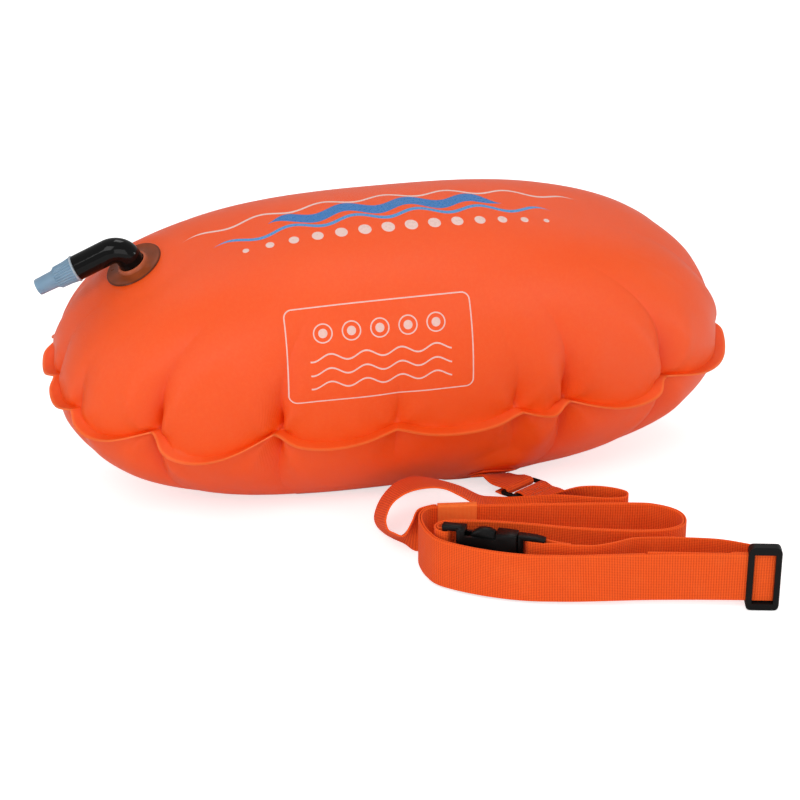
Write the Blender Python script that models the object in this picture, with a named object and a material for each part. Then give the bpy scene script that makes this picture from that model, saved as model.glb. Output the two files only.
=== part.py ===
"""Open water swim buoy: an inflated two-panel bladder with a twist valve, an anchor ring,
a webbing leash, and an adjustable waist belt with a side-release buckle.

Metres, +Z up. The origin is on the floor, under the middle of the bladder.
The bladder's long axis is X, its valve is at the -X end, and the belt lies on the -Y side.
"""
import math

import bmesh
import bpy
from mathutils import Matrix, Vector

# Running gaps between pieces that touch
GAP = 0.0003
CUT_OVERRUN = 0.002

# Bladder: two coated-fabric panels, welded round the edge
BLADDER_HALF_LENGTH = 0.2700
BLADDER_HALF_WIDTH = 0.1120
UPPER_HEIGHT = 0.1225
LOWER_HEIGHT = 0.1125
FABRIC_THICKNESS = 0.0006
WELD_FLANGE_WIDTH = 0.0085
FLOOR_CUT = 0.0010
BLADDER_ROLL = math.radians(13.4)
BLADDER_SETBACK = 0.0070
CROWN_SHARE = 0.020
PLAN_SQUARENESS = 3.0
UPPER_SQUARENESS = 2.16
LOWER_SQUARENESS = 2.40

# Puckers of the weld: the plan angle of each, its depth as a share of the deepest, and how far
# the weld sags between it and the next one, as a share of the deepest sag
PUCKER_DEPTH = 0.0125
PUCKER_WIDTH = math.radians(3.4)
PUCKER_RISE = 0.060
SAG_DEPTH = 0.0170
SAG_BULGE = 0.0060
pucker_shares = [
    (22, 0.80, 0.45),
    (46, 1.00, 0.35),
    (64, 0.60, 0.55),
    (88, 0.30, 0.60),
    (112, 0.90, 0.50),
    (135, 1.00, 0.60),
    (158, 0.60, 0.45),
    (182, 0.35, 0.35),
    (204, 0.30, 0.55),
    (225, 1.00, 1.00),
    (245, 0.90, 0.52),
    (265, 0.25, 0.42),
    (286, 0.40, 0.30),
    (295, 0.90, 0.62),
    (314, 1.00, 0.60),
    (352, 1.00, 0.50),
]
ring_shares = [0.14, 0.30, 0.45, 0.60, 0.71, 0.81, 0.90, 0.96, 1.0]

# Valve: welded flange, bent tube, threaded insert, seal ring and mouthpiece
VALVE_PLAN_ANGLE = math.radians(169)
VALVE_RING_SHARE = 0.555
VALVE_ARM_HEADING = math.radians(176)
VALVE_FLANGE_RADIUS = 0.0235
VALVE_FLANGE_THICKNESS = 0.0008
VALVE_FLAT_BLEND = 0.020
VALVE_COLLAR_HEIGHT = 0.0028
VALVE_COLLAR_WALL = 0.0022
TUBE_OUTER_RADIUS = 0.0100
TUBE_WALL = 0.0025
TUBE_STEM_LENGTH = 0.0080
TUBE_BEND_RADIUS = 0.0115
TUBE_ARM_LENGTH = 0.0270
INSERT_SOCKET_LENGTH = 0.0140
INSERT_NOSE_RADIUS = 0.0055
INSERT_WALL = 0.0018
INSERT_NOSE_LENGTH = 0.0170
PLUG_RADIUS = 0.0026
PLUG_LENGTH = 0.0045
PLUG_SEAT_SHARE = 0.55
PLUG_RIB_THICKNESS = 0.0012
SEAL_SECTION_RADIUS = 0.0009
SEAL_INSET = 0.0045
MOUTHPIECE_LENGTH = 0.0345
MOUTHPIECE_TIP_RADIUS = 0.0066
MOUTHPIECE_RIB_DEPTH = 0.0007
MOUTHPIECE_RIBS = 24
MOUTHPIECE_GRIP_LENGTH = 0.0165

# Webbing, the same for the belt, the leash and the anchor tab
WEBBING_WIDTH = 0.0380
WEBBING_THICKNESS = 0.0013
LAYER_GAP = 0.0005

# Anchor: welded patch, webbing tab and ring
PATCH_CENTRE_X = 0.0670
PATCH_ANGLE = math.radians(33.5)
PATCH_HALF_LENGTH = 0.0080
PATCH_HALF_WIDTH = 0.0215
PATCH_THICKNESS = 0.0010
PATCH_FLAT_RADIUS = 0.0240
PATCH_FLAT_BLEND = 0.0200
RING_CENTRE_X = 0.0855
RING_CENTRE_Y = -0.0875
RING_CENTRE_Z = 0.0100
RING_HEADING = math.radians(39.0)
RING_TILT = math.radians(-8.0)
RING_BAR_RADIUS = 0.0019
RING_INNER_DEPTH = 0.0085
RING_SIDE_CLEARANCE = 0.0010
TAB_SEWN_LENGTH = 0.0150
TAB_LEAD_LENGTH = 0.0050
TAB_ROUTE_STEPS = 4
LEASH_SEWN_LENGTH = 0.0125
LEASH_LEAD_LENGTH = 0.0040

# Waist belt: the laid loop, and the hardware on it
BELT_LOOP_LENGTH = 0.2400
BELT_STANDOFF = 0.0600
BELT_ADJUSTER_END_LENGTH = 0.0850
HARDWARE_LIFT = 0.0055
LAYER_SPREAD_LENGTH = 0.0090
SLEEVE_CENTRE_SHARE = 0.0380
SLEEVE_LENGTH = 0.0300
SLEEVE_CLEARANCE = 0.0006
SLEEVE_CORNER = 0.0014

# Adjuster slide
GLIDE_HALF_LENGTH = 0.0123
GLIDE_HALF_HEIGHT = 0.0260
GLIDE_OPENING_HALF_HEIGHT = 0.0203
GLIDE_BAR_THICKNESS = 0.0026
GLIDE_END_BAR_WIDTH = 0.0045
GLIDE_CENTRE_BAR_WIDTH = 0.0042
GLIDE_STRAP_OVERHANG = 0.0010
GLIDE_FOLD_LENGTH = 0.0240
GLIDE_CORNER = 0.0009

# Side-release buckle, along its length from the female half's bar
BUCKLE_HEADING = math.radians(-28.7)
BUCKLE_HALF_WIDTH = 0.0245
BUCKLE_HALF_THICKNESS = 0.0060
BUCKLE_BAR_RADIUS = 0.0022
PRONG_HALF_THICKNESS = 0.0034
PRONG_INNER = 0.0195
FEMALE_HALF_WIDTH = 0.0234
FEMALE_SLOT_END = 0.0093
FEMALE_CAVITY_START = 0.0135
FEMALE_WAIST_START = 0.0155
FEMALE_WAIST_END = 0.0394
FEMALE_WAIST_HALF_WIDTH = 0.0180
FEMALE_MOUTH = 0.0550
CAVITY_HALF_WIDTH = 0.0195
CAVITY_HALF_THICKNESS = 0.0036
MALE_TIP = 0.0757
MALE_HALF_WIDTH = 0.0228
MALE_TIP_HALF_WIDTH = 0.0212
MALE_BLOCK_END = 0.0597
MALE_BAR_PLACE = 0.0648
MALE_BAR_RADIUS = 0.0020
MALE_TIP_BAR_START = 0.0726
MALE_TIP_BAR_HALF_THICKNESS = 0.0016
MALE_SPREAD_HOLD = 0.0115
TONGUE_START = 0.0311
TONGUE_HALF_WIDTH = 0.0030
TONGUE_HALF_THICKNESS = 0.0020
ARM_PIVOT_PLACE = 0.0535
ARM_PIVOT_OFFSET = 0.0130
ARM_HALF_THICKNESS = 0.0028
ARM_ROOT_RADIUS = 0.0015
BUCKLE_ROUNDING = 0.0014
ARM_ROUNDING = 0.0007

ORANGE_FABRIC = (0.90, 0.13, 0.012)
ORANGE_WEBBING = (0.88, 0.14, 0.02)
BLACK_PLASTIC = (0.012, 0.012, 0.013)
BLACK_VINYL = (0.008, 0.009, 0.010)
BROWN_FILM = (0.16, 0.045, 0.015)
PALE_BLUE = (0.42, 0.58, 0.70)
WHITE_PLASTIC = (0.75, 0.75, 0.73)


def clear_scene():
    for thing in list(bpy.data.objects):
        bpy.data.objects.remove(thing, do_unlink=True)


def material(name, colour, roughness):
    mat = bpy.data.materials.get(name)
    if mat is None:
        mat = bpy.data.materials.new(name)
        mat.use_nodes = True
        shader = mat.node_tree.nodes["Principled BSDF"]
        shader.inputs["Base Color"].default_value = (*colour, 1.0)
        shader.inputs["Roughness"].default_value = roughness
        shader.inputs["Metallic"].default_value = 0.0
    return mat


def make_object(name, bm, mat, smooth_angle=None):
    bmesh.ops.recalc_face_normals(bm, faces=bm.faces)
    mesh = bpy.data.meshes.new(name)
    bm.to_mesh(mesh)
    bm.free()
    mesh.materials.append(mat)
    if smooth_angle is not None:
        mesh.shade_smooth()
        mesh.set_sharp_from_angle(angle=smooth_angle)
    thing = bpy.data.objects.new(name, mesh)
    bpy.context.scene.collection.objects.link(thing)
    return thing


def boolean(target, cutter, operation="DIFFERENCE"):
    cutter.hide_render = True
    cutter.display_type = "WIRE"
    modifier = target.modifiers.new(operation.title() + " " + cutter.name, "BOOLEAN")
    modifier.object = cutter
    modifier.operation = operation
    modifier.solver = "EXACT"


def bevel(target, width, segments=2):
    modifier = target.modifiers.new("Rounded edges", "BEVEL")
    modifier.width = width
    modifier.segments = segments
    modifier.limit_method = "ANGLE"
    modifier.angle_limit = math.radians(40)


def box(name, low, high, mat, matrix=Matrix.Identity(4)):
    bm = bmesh.new()
    bmesh.ops.create_cube(bm, size=1.0)
    low, high = Vector(low), Vector(high)
    middle, size = (low + high) / 2, high - low
    for vert in bm.verts:
        vert.co = matrix @ (middle + Vector(a * b for a, b in zip(vert.co, size)))
    return make_object(name, bm, mat)


def loft(name, rings, mat, closed=False, smooth_angle=math.radians(40)):
    """Bridge rings of points, each with as many points, and cap the two ends."""
    bm = bmesh.new()
    rows = [[bm.verts.new(point) for point in ring] for ring in rings]
    count = len(rows[0])
    pairs = list(zip(rows, rows[1:]))
    if closed:
        pairs.append((rows[-1], rows[0]))
    for first, second in pairs:
        for i in range(count):
            j = (i + 1) % count
            bm.faces.new((first[i], first[j], second[j], second[i]))
    if not closed:
        bm.faces.new(rows[0])
        bm.faces.new(list(reversed(rows[-1])))
    return make_object(name, bm, mat, smooth_angle)


def catmull(points, steps):
    """A smooth route through points, with so many steps in each span."""
    points = [Vector(p) for p in points]
    route = []
    for i in range(len(points) - 1):
        before = points[max(i - 1, 0)]
        start, end = points[i], points[i + 1]
        after = points[min(i + 2, len(points) - 1)]
        for k in range(steps):
            t = k / steps
            route.append(
                0.5
                * (
                    2 * start
                    + (end - before) * t
                    + (2 * before - 5 * start + 4 * end - after) * t**2
                    + (3 * start - before - 3 * end + after) * t**3
                )
            )
    route.append(points[-1])
    return route


def tangents(route):
    ahead = route[1:] + route[-1:]
    behind = route[:1] + route[:-1]
    return [(a - b).normalized() for a, b in zip(ahead, behind)]


def ribbon(name, route, width_axes, mat, square=True):
    """A strap of webbing along a route, with its width along the axis given at each point."""
    rings = []
    for point, along, axis in zip(route, tangents(route), width_axes):
        if square:
            axis = axis - along * axis.dot(along)
        axis = axis.normalized()
        face = along.cross(axis).normalized() * (WEBBING_THICKNESS / 2)
        half = axis * (WEBBING_WIDTH / 2)
        rings.append([point + half + face, point + half - face, point - half - face, point - half + face])
    return loft(name, rings, mat, smooth_angle=math.radians(30))


def tube_rings(route, radius, sides, axis):
    rings = []
    for point, along in zip(route, tangents(route)):
        up = (axis - along * axis.dot(along)).normalized()
        side = along.cross(up)
        turn = [2 * math.pi * k / sides for k in range(sides)]
        rings.append([point + up * (radius * math.cos(a)) + side * (radius * math.sin(a)) for a in turn])
    return rings


def turned(name, profile, sides, mat, matrix, smooth_angle=math.radians(35)):
    """A closed profile of (distance along, radius) pairs, turned about the matrix's X axis."""
    rings = []
    for along, radius in profile:
        turn = [2 * math.pi * k / sides for k in range(sides)]
        rings.append([matrix @ Vector((along, radius * math.cos(a), radius * math.sin(a))) for a in turn])
    return loft(name, rings, mat, closed=True, smooth_angle=smooth_angle)


def frame_matrix(origin, x_axis, z_hint):
    x_axis = x_axis.normalized()
    z_axis = (z_hint - x_axis * z_hint.dot(x_axis)).normalized()
    y_axis = z_axis.cross(x_axis)
    matrix = Matrix((x_axis, y_axis, z_axis)).transposed().to_4x4()
    matrix.translation = origin
    return matrix


# The bladder

AXIS_HEIGHT = LOWER_HEIGHT - FLOOR_CUT
ROLL = Matrix.Translation((0, BLADDER_SETBACK, AXIS_HEIGHT)) @ Matrix.Rotation(BLADDER_ROLL, 4, "X")
PUCKERS = [(math.radians(degrees), depth, sag) for degrees, depth, sag in pucker_shares]


def angle_between(a, b):
    return math.remainder(a - b, 2 * math.pi)


def pucker(angle):
    """How far the weld is drawn in at this plan angle, as a share of the deepest pucker."""
    return max(
        share * math.exp(-((angle_between(angle, centre) / PUCKER_WIDTH) ** 2))
        for centre, share, sag in PUCKERS
    )


def sag(angle):
    """How far the weld hangs at this plan angle: nothing at a pucker, and most half way to the next."""
    angle = (angle - PUCKERS[0][0]) % (2 * math.pi) + PUCKERS[0][0]
    wrapped = PUCKERS + [(PUCKERS[0][0] + 2 * math.pi, 0.0, 0.0)]
    for (first, depth, share), (second, *rest) in zip(PUCKERS, wrapped[1:]):
        if first <= angle <= second:
            return share * math.sin(math.pi * (angle - first) / (second - first))
    return 0.0


def plan_point(angle):
    c, s = math.cos(angle), math.sin(angle)
    reach = (abs(c) ** PLAN_SQUARENESS + abs(s) ** PLAN_SQUARENESS) ** (-1 / PLAN_SQUARENESS)
    return Vector((BLADDER_HALF_LENGTH * c * reach, BLADDER_HALF_WIDTH * s * reach, 0))


def free_panel_point(angle, ring, side):
    """A point of a panel before it is pressed flat anywhere: ring is 0 at the crown and 1 at the weld."""
    height = UPPER_HEIGHT if side > 0 else LOWER_HEIGHT
    squareness = UPPER_SQUARENESS if side > 0 else LOWER_SQUARENESS
    spread = math.sin(min(ring, 1.0) * math.pi / 2)
    rise = height * (1 - spread**squareness) ** (1 / squareness)
    outline = plan_point(angle)
    outward = outline.normalized()
    near_weld = max(0.0, 1 - rise / PUCKER_RISE) ** 1.6
    inset = PUCKER_DEPTH * pucker(angle) - SAG_BULGE * sag(angle) / 2
    point = outline * spread - outward * (inset * near_weld)
    if side > 0:
        rise *= 1 + CROWN_SHARE * (1 - 2 * (point.x / BLADDER_HALF_LENGTH) ** 2)
    return point + Vector((0, 0, side * rise - SAG_DEPTH * sag(angle) * near_weld))


def weld_point(angle, share, side):
    """A point of the weld flange: share is 0 at the panel and 1 at the free edge."""
    outline = plan_point(angle)
    outward = outline.normalized()
    inset = PUCKER_DEPTH * pucker(angle) - SAG_BULGE * sag(angle) / 2
    reach = WELD_FLANGE_WIDTH * (1 + sag(angle) / 8) * share
    point = outline - outward * (inset - reach)
    return point + Vector((0, 0, -SAG_DEPTH * sag(angle) * (1 + share / 8)))


def weld_steepness(angle):
    """How much longer the weld is here than its plan, because it climbs to a pucker."""
    step = math.radians(1.0)
    run = weld_point(angle + step, 0.0, 1) - weld_point(angle - step, 0.0, 1)
    return run.length / run.xy.length


def surface_frame(angle, ring, side):
    step = math.radians(0.5)
    centre = free_panel_point(angle, ring, side)
    along = free_panel_point(angle + step, ring, side) - free_panel_point(angle - step, ring, side)
    down = free_panel_point(angle, ring + step, side) - free_panel_point(angle, ring - step, side)
    normal = along.cross(down).normalized()
    if normal.z * side < 0:
        normal.negate()
    return centre, normal


def pressed(point, centre, normal, flat_radius, blend):
    """Press a panel's point onto the plane of a stiff piece that is welded there."""
    offset = point - centre
    height = offset.dot(normal)
    distance = (offset - normal * height).length
    if distance > flat_radius + blend or abs(height) > flat_radius:
        return point
    share = max(0.0, (distance - flat_radius) / blend)
    keep = share * share * (3 - 2 * share)
    return point - normal * (height * (1 - keep))


VALVE_CENTRE, VALVE_NORMAL = surface_frame(VALVE_PLAN_ANGLE, VALVE_RING_SHARE, 1)


def patch_place():
    """The lower panel's point under the patch, found round the middle of its length."""
    direction = Vector((0, -math.sin(PATCH_ANGLE), -math.cos(PATCH_ANGLE)))
    local = ROLL.to_3x3().inverted() @ direction
    best = None
    for i in range(400):
        ring = i / 400
        for j in range(20):
            angle = math.radians(270 + j)
            point = free_panel_point(angle, ring, -1)
            miss = abs(point.x - PATCH_CENTRE_X) + abs(point.y * local.z - point.z * local.y)
            if best is None or miss < best[0]:
                best = (miss, angle, ring)
    return surface_frame(best[1], best[2], -1)


PATCH_CENTRE, PATCH_NORMAL = patch_place()


def panel_point(angle, ring, side):
    point = free_panel_point(angle, ring, side)
    if side > 0:
        return pressed(point, VALVE_CENTRE, VALVE_NORMAL, VALVE_FLANGE_RADIUS + GAP, VALVE_FLAT_BLEND)
    return pressed(point, PATCH_CENTRE, PATCH_NORMAL, PATCH_FLAT_RADIUS, PATCH_FLAT_BLEND)


def plan_stations():
    """Plan angles, closer together by each pucker."""
    ordered = [centre for centre, depth, share in PUCKERS]
    stations = []
    for first, second in zip(ordered, ordered[1:] + [ordered[0] + 2 * math.pi]):
        count = 4 if second - first > math.radians(12) else 3
        for k in range(count):
            stations.append(first + (second - first) * (1 - math.cos(math.pi * k / count)) / 2)
    return stations


def near_stiff_piece(angle, ring, side):
    centre = VALVE_CENTRE if side > 0 else PATCH_CENTRE
    reach = VALVE_FLANGE_RADIUS + VALVE_FLAT_BLEND if side > 0 else PATCH_FLAT_RADIUS + PATCH_FLAT_BLEND
    return (free_panel_point(angle, ring, side) - centre).length < reach


def panel(name, side, mat):
    """One panel with its half of the weld flange, drawn flat first, then blown up."""
    stations = plan_stations()
    stations.append(stations[0] + 2 * math.pi)
    bm = bmesh.new()
    rows = [[bm.verts.new((angle, ring, 0)) for angle in stations] for ring in ring_shares]
    for inner, outer in zip(rows, rows[1:]):
        for i in range(len(stations) - 1):
            bm.faces.new((inner[i], outer[i], outer[i + 1], inner[i + 1]))
    close = [
        face
        for face in bm.faces
        if near_stiff_piece(*face.calc_center_median().xy, side) and face.calc_center_median().y < ring_shares[-3]
    ]
    edges = list({edge for face in close for edge in face.edges})
    bmesh.ops.subdivide_edges(bm, edges=edges, cuts=2, use_grid_fill=True)
    bmesh.ops.triangulate(bm, faces=bm.faces, quad_method="FIXED")
    for vert in bm.verts:
        vert.co = panel_point(vert.co.x, vert.co.y, side)
    bmesh.ops.remove_doubles(bm, verts=bm.verts, dist=GAP / 10)
    crown = [edge for edge in bm.edges if edge.is_boundary and abs(edge.verts[0].co.z) > UPPER_HEIGHT / 2]
    cap = bmesh.ops.contextual_create(bm, geom=crown)["faces"]
    poked = bmesh.ops.poke(bm, faces=cap)
    poked["verts"][0].co = panel_point(0, 0, side)
    clearance = GAP / 2 + FABRIC_THICKNESS
    add_weld_flange(bm, side, clearance)
    bmesh.ops.transform(bm, matrix=ROLL, verts=bm.verts)
    if side < 0:
        cut_flat_on_floor(bm)
    thing = make_object(name, bm, mat, smooth_angle=math.radians(50))
    face_outwards(thing, side)
    solidify = thing.modifiers.new("Fabric thickness", "SOLIDIFY")
    solidify.thickness = FABRIC_THICKNESS
    solidify.offset = -1.0
    return thing


def add_weld_flange(bm, side, clearance):
    """Lift the panel's edge clear of its twin, and extend it outwards as the weld flange."""
    edge_loop = [edge for edge in bm.edges if edge.is_boundary]
    made = bmesh.ops.extrude_edge_only(bm, edges=edge_loop)["geom"]
    outer = [item for item in made if isinstance(item, bmesh.types.BMVert)]
    rim = {vert for edge in edge_loop for vert in edge.verts}
    for verts, share in ((rim, 0.0), (outer, 1.0)):
        for vert in verts:
            angle = plan_angle(vert.co)
            lift = side * clearance * weld_steepness(angle)
            vert.co = weld_point(angle, share, side) + Vector((0, 0, lift))
    bmesh.ops.triangulate(bm, faces=[f for f in bm.faces if len(f.verts) > 3], quad_method="FIXED")


def plan_angle(point):
    """The angle that plan_point was given, from a point on that ray."""
    return math.atan2(point.y / BLADDER_HALF_WIDTH, point.x / BLADDER_HALF_LENGTH)


def cut_flat_on_floor(bm):
    everything = bm.verts[:] + bm.edges[:] + bm.faces[:]
    cut = bmesh.ops.bisect_plane(bm, geom=everything, plane_co=(0, 0, 0), plane_no=(0, 0, -1), clear_outer=True)
    edges = [item for item in cut["geom_cut"] if isinstance(item, bmesh.types.BMEdge)]
    bmesh.ops.contextual_create(bm, geom=edges)


def face_outwards(thing, side):
    """An open panel has no inside, so its crown tells which way its faces point."""
    mesh = thing.data
    crown = max(mesh.polygons, key=lambda face: face.center.z * side)
    if crown.normal.z * side < 0:
        mesh.flip_normals()


# The valve


def valve_frames():
    centre = ROLL @ VALVE_CENTRE
    normal = ROLL.to_3x3() @ VALVE_NORMAL
    outward = Vector((math.cos(VALVE_ARM_HEADING), math.sin(VALVE_ARM_HEADING), 0))
    arm = (outward - normal * outward.dot(normal)).normalized()
    return centre, normal, arm


def elbow_route(centre, normal, arm):
    """The bent tube's centreline: up from the flange, round the bend, and out along the arm."""
    foot = centre + normal * (GAP + VALVE_FLANGE_THICKNESS + GAP)
    corner = foot + normal * TUBE_STEM_LENGTH
    turn = corner + arm * TUBE_BEND_RADIUS
    route = [foot, corner]
    for k in range(1, 9):
        angle = math.pi / 2 * k / 8
        route.append(turn - arm * (TUBE_BEND_RADIUS * math.cos(angle)) + normal * (TUBE_BEND_RADIUS * math.sin(angle)))
    route.append(route[-1] + arm * TUBE_ARM_LENGTH)
    return route


def build_valve(upper):
    centre, normal, arm = valve_frames()
    across = normal.cross(arm)
    film = material("brown film", BROWN_FILM, 0.35)
    vinyl = material("black vinyl", BLACK_VINYL, 0.18)
    bore = TUBE_OUTER_RADIUS - TUBE_WALL
    flange_matrix = frame_matrix(centre, normal, arm)
    top = GAP + VALVE_FLANGE_THICKNESS
    collar_inner = TUBE_OUTER_RADIUS + GAP
    collar_outer = collar_inner + VALVE_COLLAR_WALL
    flange_profile = [
        (GAP, bore),
        (GAP, VALVE_FLANGE_RADIUS),
        (top, VALVE_FLANGE_RADIUS - VALVE_FLANGE_THICKNESS / 2),
        (top, collar_outer),
        (top + VALVE_COLLAR_HEIGHT, collar_outer - VALVE_COLLAR_WALL / 3),
        (top + VALVE_COLLAR_HEIGHT, collar_inner),
        (top, collar_inner),
        (top, bore),
    ]
    turned("valve_flange", flange_profile, 48, film, flange_matrix)
    half = VALVE_FLANGE_RADIUS / 2
    hole_route = [flange_matrix @ Vector((along, 0, 0)) for along in (-half, half)]
    cutter = loft(
        "panel_hole",
        tube_rings(hole_route, bore, 24, arm),
        film,
    )
    boolean(upper, cutter)
    route = elbow_route(centre, normal, arm)
    outer = tube_rings(route, TUBE_OUTER_RADIUS, 24, across)
    inner = tube_rings(route, bore, 24, across)
    loft("valve_elbow", outer + inner[::-1], vinyl, closed=True, smooth_angle=math.radians(50))
    return route[-1], arm, normal


def build_insert(end, arm, normal):
    """The threaded insert: a sleeve in the tube's end, and a nose with the fixed plug."""
    white = material("white plastic", WHITE_PLASTIC, 0.4)
    matrix = frame_matrix(end, arm, normal)
    socket_radius = TUBE_OUTER_RADIUS - TUBE_WALL - GAP
    bore = INSERT_NOSE_RADIUS - INSERT_WALL
    profile = [
        (-INSERT_SOCKET_LENGTH, bore),
        (-INSERT_SOCKET_LENGTH, socket_radius - GAP),
        (-INSERT_SOCKET_LENGTH + INSERT_WALL, socket_radius),
        (-GAP, socket_radius),
        (-GAP, INSERT_NOSE_RADIUS),
        (INSERT_NOSE_LENGTH, INSERT_NOSE_RADIUS),
        (INSERT_NOSE_LENGTH, bore),
    ]
    insert = turned("valve_insert", profile, 24, white, matrix)
    plug_start = INSERT_NOSE_LENGTH - PLUG_LENGTH
    plug_route = [
        matrix @ Vector((plug_start, 0, 0)),
        matrix @ Vector((INSERT_NOSE_LENGTH + PLUG_LENGTH, 0, 0)),
    ]
    rings = tube_rings(plug_route, PLUG_RADIUS, 16, normal)
    plug = loft("insert_plug", rings, white)
    boolean(insert, plug, "UNION")
    for k in range(3):
        turn = matrix @ Matrix.Rotation(2 * math.pi * k / 3, 4, "X")
        half = PLUG_RIB_THICKNESS / 2
        low = (plug_start + GAP, -half, 0)
        high = (INSERT_NOSE_LENGTH - GAP, half, bore + INSERT_WALL / 2)
        rib = box(f"insert_rib_{k}", low, high, white, turn)
        boolean(insert, rib, "UNION")


def build_seal(end, arm, normal):
    rubber = material("black rubber", BLACK_PLASTIC, 0.7)
    matrix = frame_matrix(end, arm, normal)
    major = INSERT_NOSE_RADIUS + GAP + SEAL_SECTION_RADIUS
    profile = []
    for k in range(8):
        angle = 2 * math.pi * k / 8
        along = SEAL_INSET + SEAL_SECTION_RADIUS * math.cos(angle)
        profile.append((along, major + SEAL_SECTION_RADIUS * math.sin(angle)))
    turned("valve_seal_ring", profile, 24, rubber, matrix)


def build_mouthpiece(end, arm, normal):
    """A fluted grip that tapers to a smooth lip, with a seat for the plug in its bore."""
    blue = material("pale blue plastic", PALE_BLUE, 0.3)
    matrix = frame_matrix(end, arm, normal)
    bore = INSERT_NOSE_RADIUS + 2 * GAP
    groove = INSERT_NOSE_RADIUS + 2 * SEAL_SECTION_RADIUS + 2 * GAP
    groove_half = SEAL_SECTION_RADIUS + GAP
    seat = INSERT_NOSE_LENGTH + PLUG_LENGTH * PLUG_SEAT_SHARE
    tip_bore = PLUG_RADIUS + GAP
    length = MOUTHPIECE_LENGTH
    outer = [
        (GAP, TUBE_OUTER_RADIUS, 0.0),
        (GAP + MOUTHPIECE_RIB_DEPTH, TUBE_OUTER_RADIUS + MOUTHPIECE_RIB_DEPTH, 0.0),
        (3 * MOUTHPIECE_RIB_DEPTH, TUBE_OUTER_RADIUS + MOUTHPIECE_RIB_DEPTH / 2, 0.0),
        (4 * MOUTHPIECE_RIB_DEPTH, TUBE_OUTER_RADIUS, 1.0),
        (MOUTHPIECE_GRIP_LENGTH, (TUBE_OUTER_RADIUS + MOUTHPIECE_TIP_RADIUS) / 2 + MOUTHPIECE_RIB_DEPTH, 1.0),
        (MOUTHPIECE_GRIP_LENGTH + 3 * MOUTHPIECE_RIB_DEPTH, MOUTHPIECE_TIP_RADIUS + MOUTHPIECE_RIB_DEPTH, 0.0),
        (length - 2 * MOUTHPIECE_RIB_DEPTH, MOUTHPIECE_TIP_RADIUS, 0.0),
        (length, MOUTHPIECE_TIP_RADIUS - MOUTHPIECE_RIB_DEPTH, 0.0),
    ]
    inner = [
        (length, tip_bore, 0.0),
        (seat, tip_bore, 0.0),
        (seat - tip_bore / 2, bore, 0.0),
        (SEAL_INSET + groove_half, bore, 0.0),
        (SEAL_INSET + groove_half, groove, 0.0),
        (SEAL_INSET - groove_half, groove, 0.0),
        (SEAL_INSET - groove_half, bore, 0.0),
        (GAP, bore, 0.0),
    ]
    rings = []
    sides = 2 * MOUTHPIECE_RIBS
    for along, radius, fluted in outer + inner:
        ring = []
        for k in range(sides):
            depth = radius - MOUTHPIECE_RIB_DEPTH * fluted * (k % 2)
            angle = 2 * math.pi * k / sides
            ring.append(matrix @ Vector((along, depth * math.cos(angle), depth * math.sin(angle))))
        rings.append(ring)
    loft("mouthpiece", rings, blue, closed=True, smooth_angle=math.radians(30))


# The anchor under the bladder


def patch_frame():
    """Origin on the pressed panel, X along the tab in the patch's plane, Z outwards."""
    centre = ROLL @ PATCH_CENTRE
    normal = ROLL.to_3x3() @ PATCH_NORMAL
    to_ring = Vector((RING_CENTRE_X, RING_CENTRE_Y, RING_CENTRE_Z)) - centre
    return frame_matrix(centre, to_ring - normal * to_ring.dot(normal), normal)


def ring_frame():
    """Origin in the ring's middle, X away from the tab, Y along its bars, Z up."""
    away = Vector((math.sin(RING_HEADING), -math.cos(RING_HEADING), 0))
    up = Matrix.Rotation(RING_TILT, 3, away) @ Vector((0, 0, 1))
    return frame_matrix(Vector((RING_CENTRE_X, RING_CENTRE_Y, RING_CENTRE_Z)), away, up)


def build_patch():
    fabric = material("orange fabric", ORANGE_FABRIC, 0.45)
    matrix = patch_frame()
    low = (-PATCH_HALF_LENGTH, -PATCH_HALF_WIDTH, GAP)
    high = (PATCH_HALF_LENGTH, PATCH_HALF_WIDTH, GAP + PATCH_THICKNESS)
    patch = box("anchor_patch", low, high, fabric, matrix)
    bevel(patch, PATCH_THICKNESS / 3, 1)


def bar_wrap(centre, inward, up, radius):
    """Points of a half turn round a bar, from its top side round to its under side."""
    points = []
    for k in range(7):
        angle = math.pi / 2 - math.pi * k / 6
        points.append(centre - inward * (radius * math.cos(angle)) + up * (radius * math.sin(angle)))
    return points


def build_tab():
    webbing = material("orange webbing", ORANGE_WEBBING, 0.8)
    patch, ring = patch_frame(), ring_frame()
    down = patch.to_3x3() @ Vector((0, 0, 1))
    along = patch.to_3x3() @ Vector((1, 0, 0))
    seat = patch.translation + down * (3 * GAP + PATCH_THICKNESS + WEBBING_THICKNESS / 2)
    away, bar_axis, up = (ring.to_3x3() @ Vector(axis) for axis in ((1, 0, 0), (0, 1, 0), (0, 0, 1)))
    radius = RING_BAR_RADIUS + GAP + WEBBING_THICKNESS / 2
    back_bar = ring.translation - away * (RING_INNER_DEPTH / 2 + RING_BAR_RADIUS)
    wrap = bar_wrap(back_bar, -away, up, radius)
    tail = [
        wrap[-1] - away * radius,
        back_bar - away * (3 * radius) - up * (radius - LAYER_GAP),
    ]
    lead = [
        seat - along * (TAB_SEWN_LENGTH / 2),
        seat - along * (TAB_SEWN_LENGTH / 2 - TAB_LEAD_LENGTH),
        seat + along * TAB_LEAD_LENGTH + down * WEBBING_THICKNESS,
        back_bar - away * (3 * radius) + up * radius,
    ]
    route = catmull(lead + [wrap[0]], TAB_ROUTE_STEPS)[:-1] + wrap + tail
    patch_axis = down.cross(along)
    if patch_axis.dot(bar_axis) < 0:
        patch_axis.negate()
    axes = []
    for i in range(len(route)):
        share = smoothstep(i / TAB_ROUTE_STEPS - 2)
        axes.append(patch_axis.lerp(bar_axis, share))
    ribbon("anchor_tab", route, axes, webbing)


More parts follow.
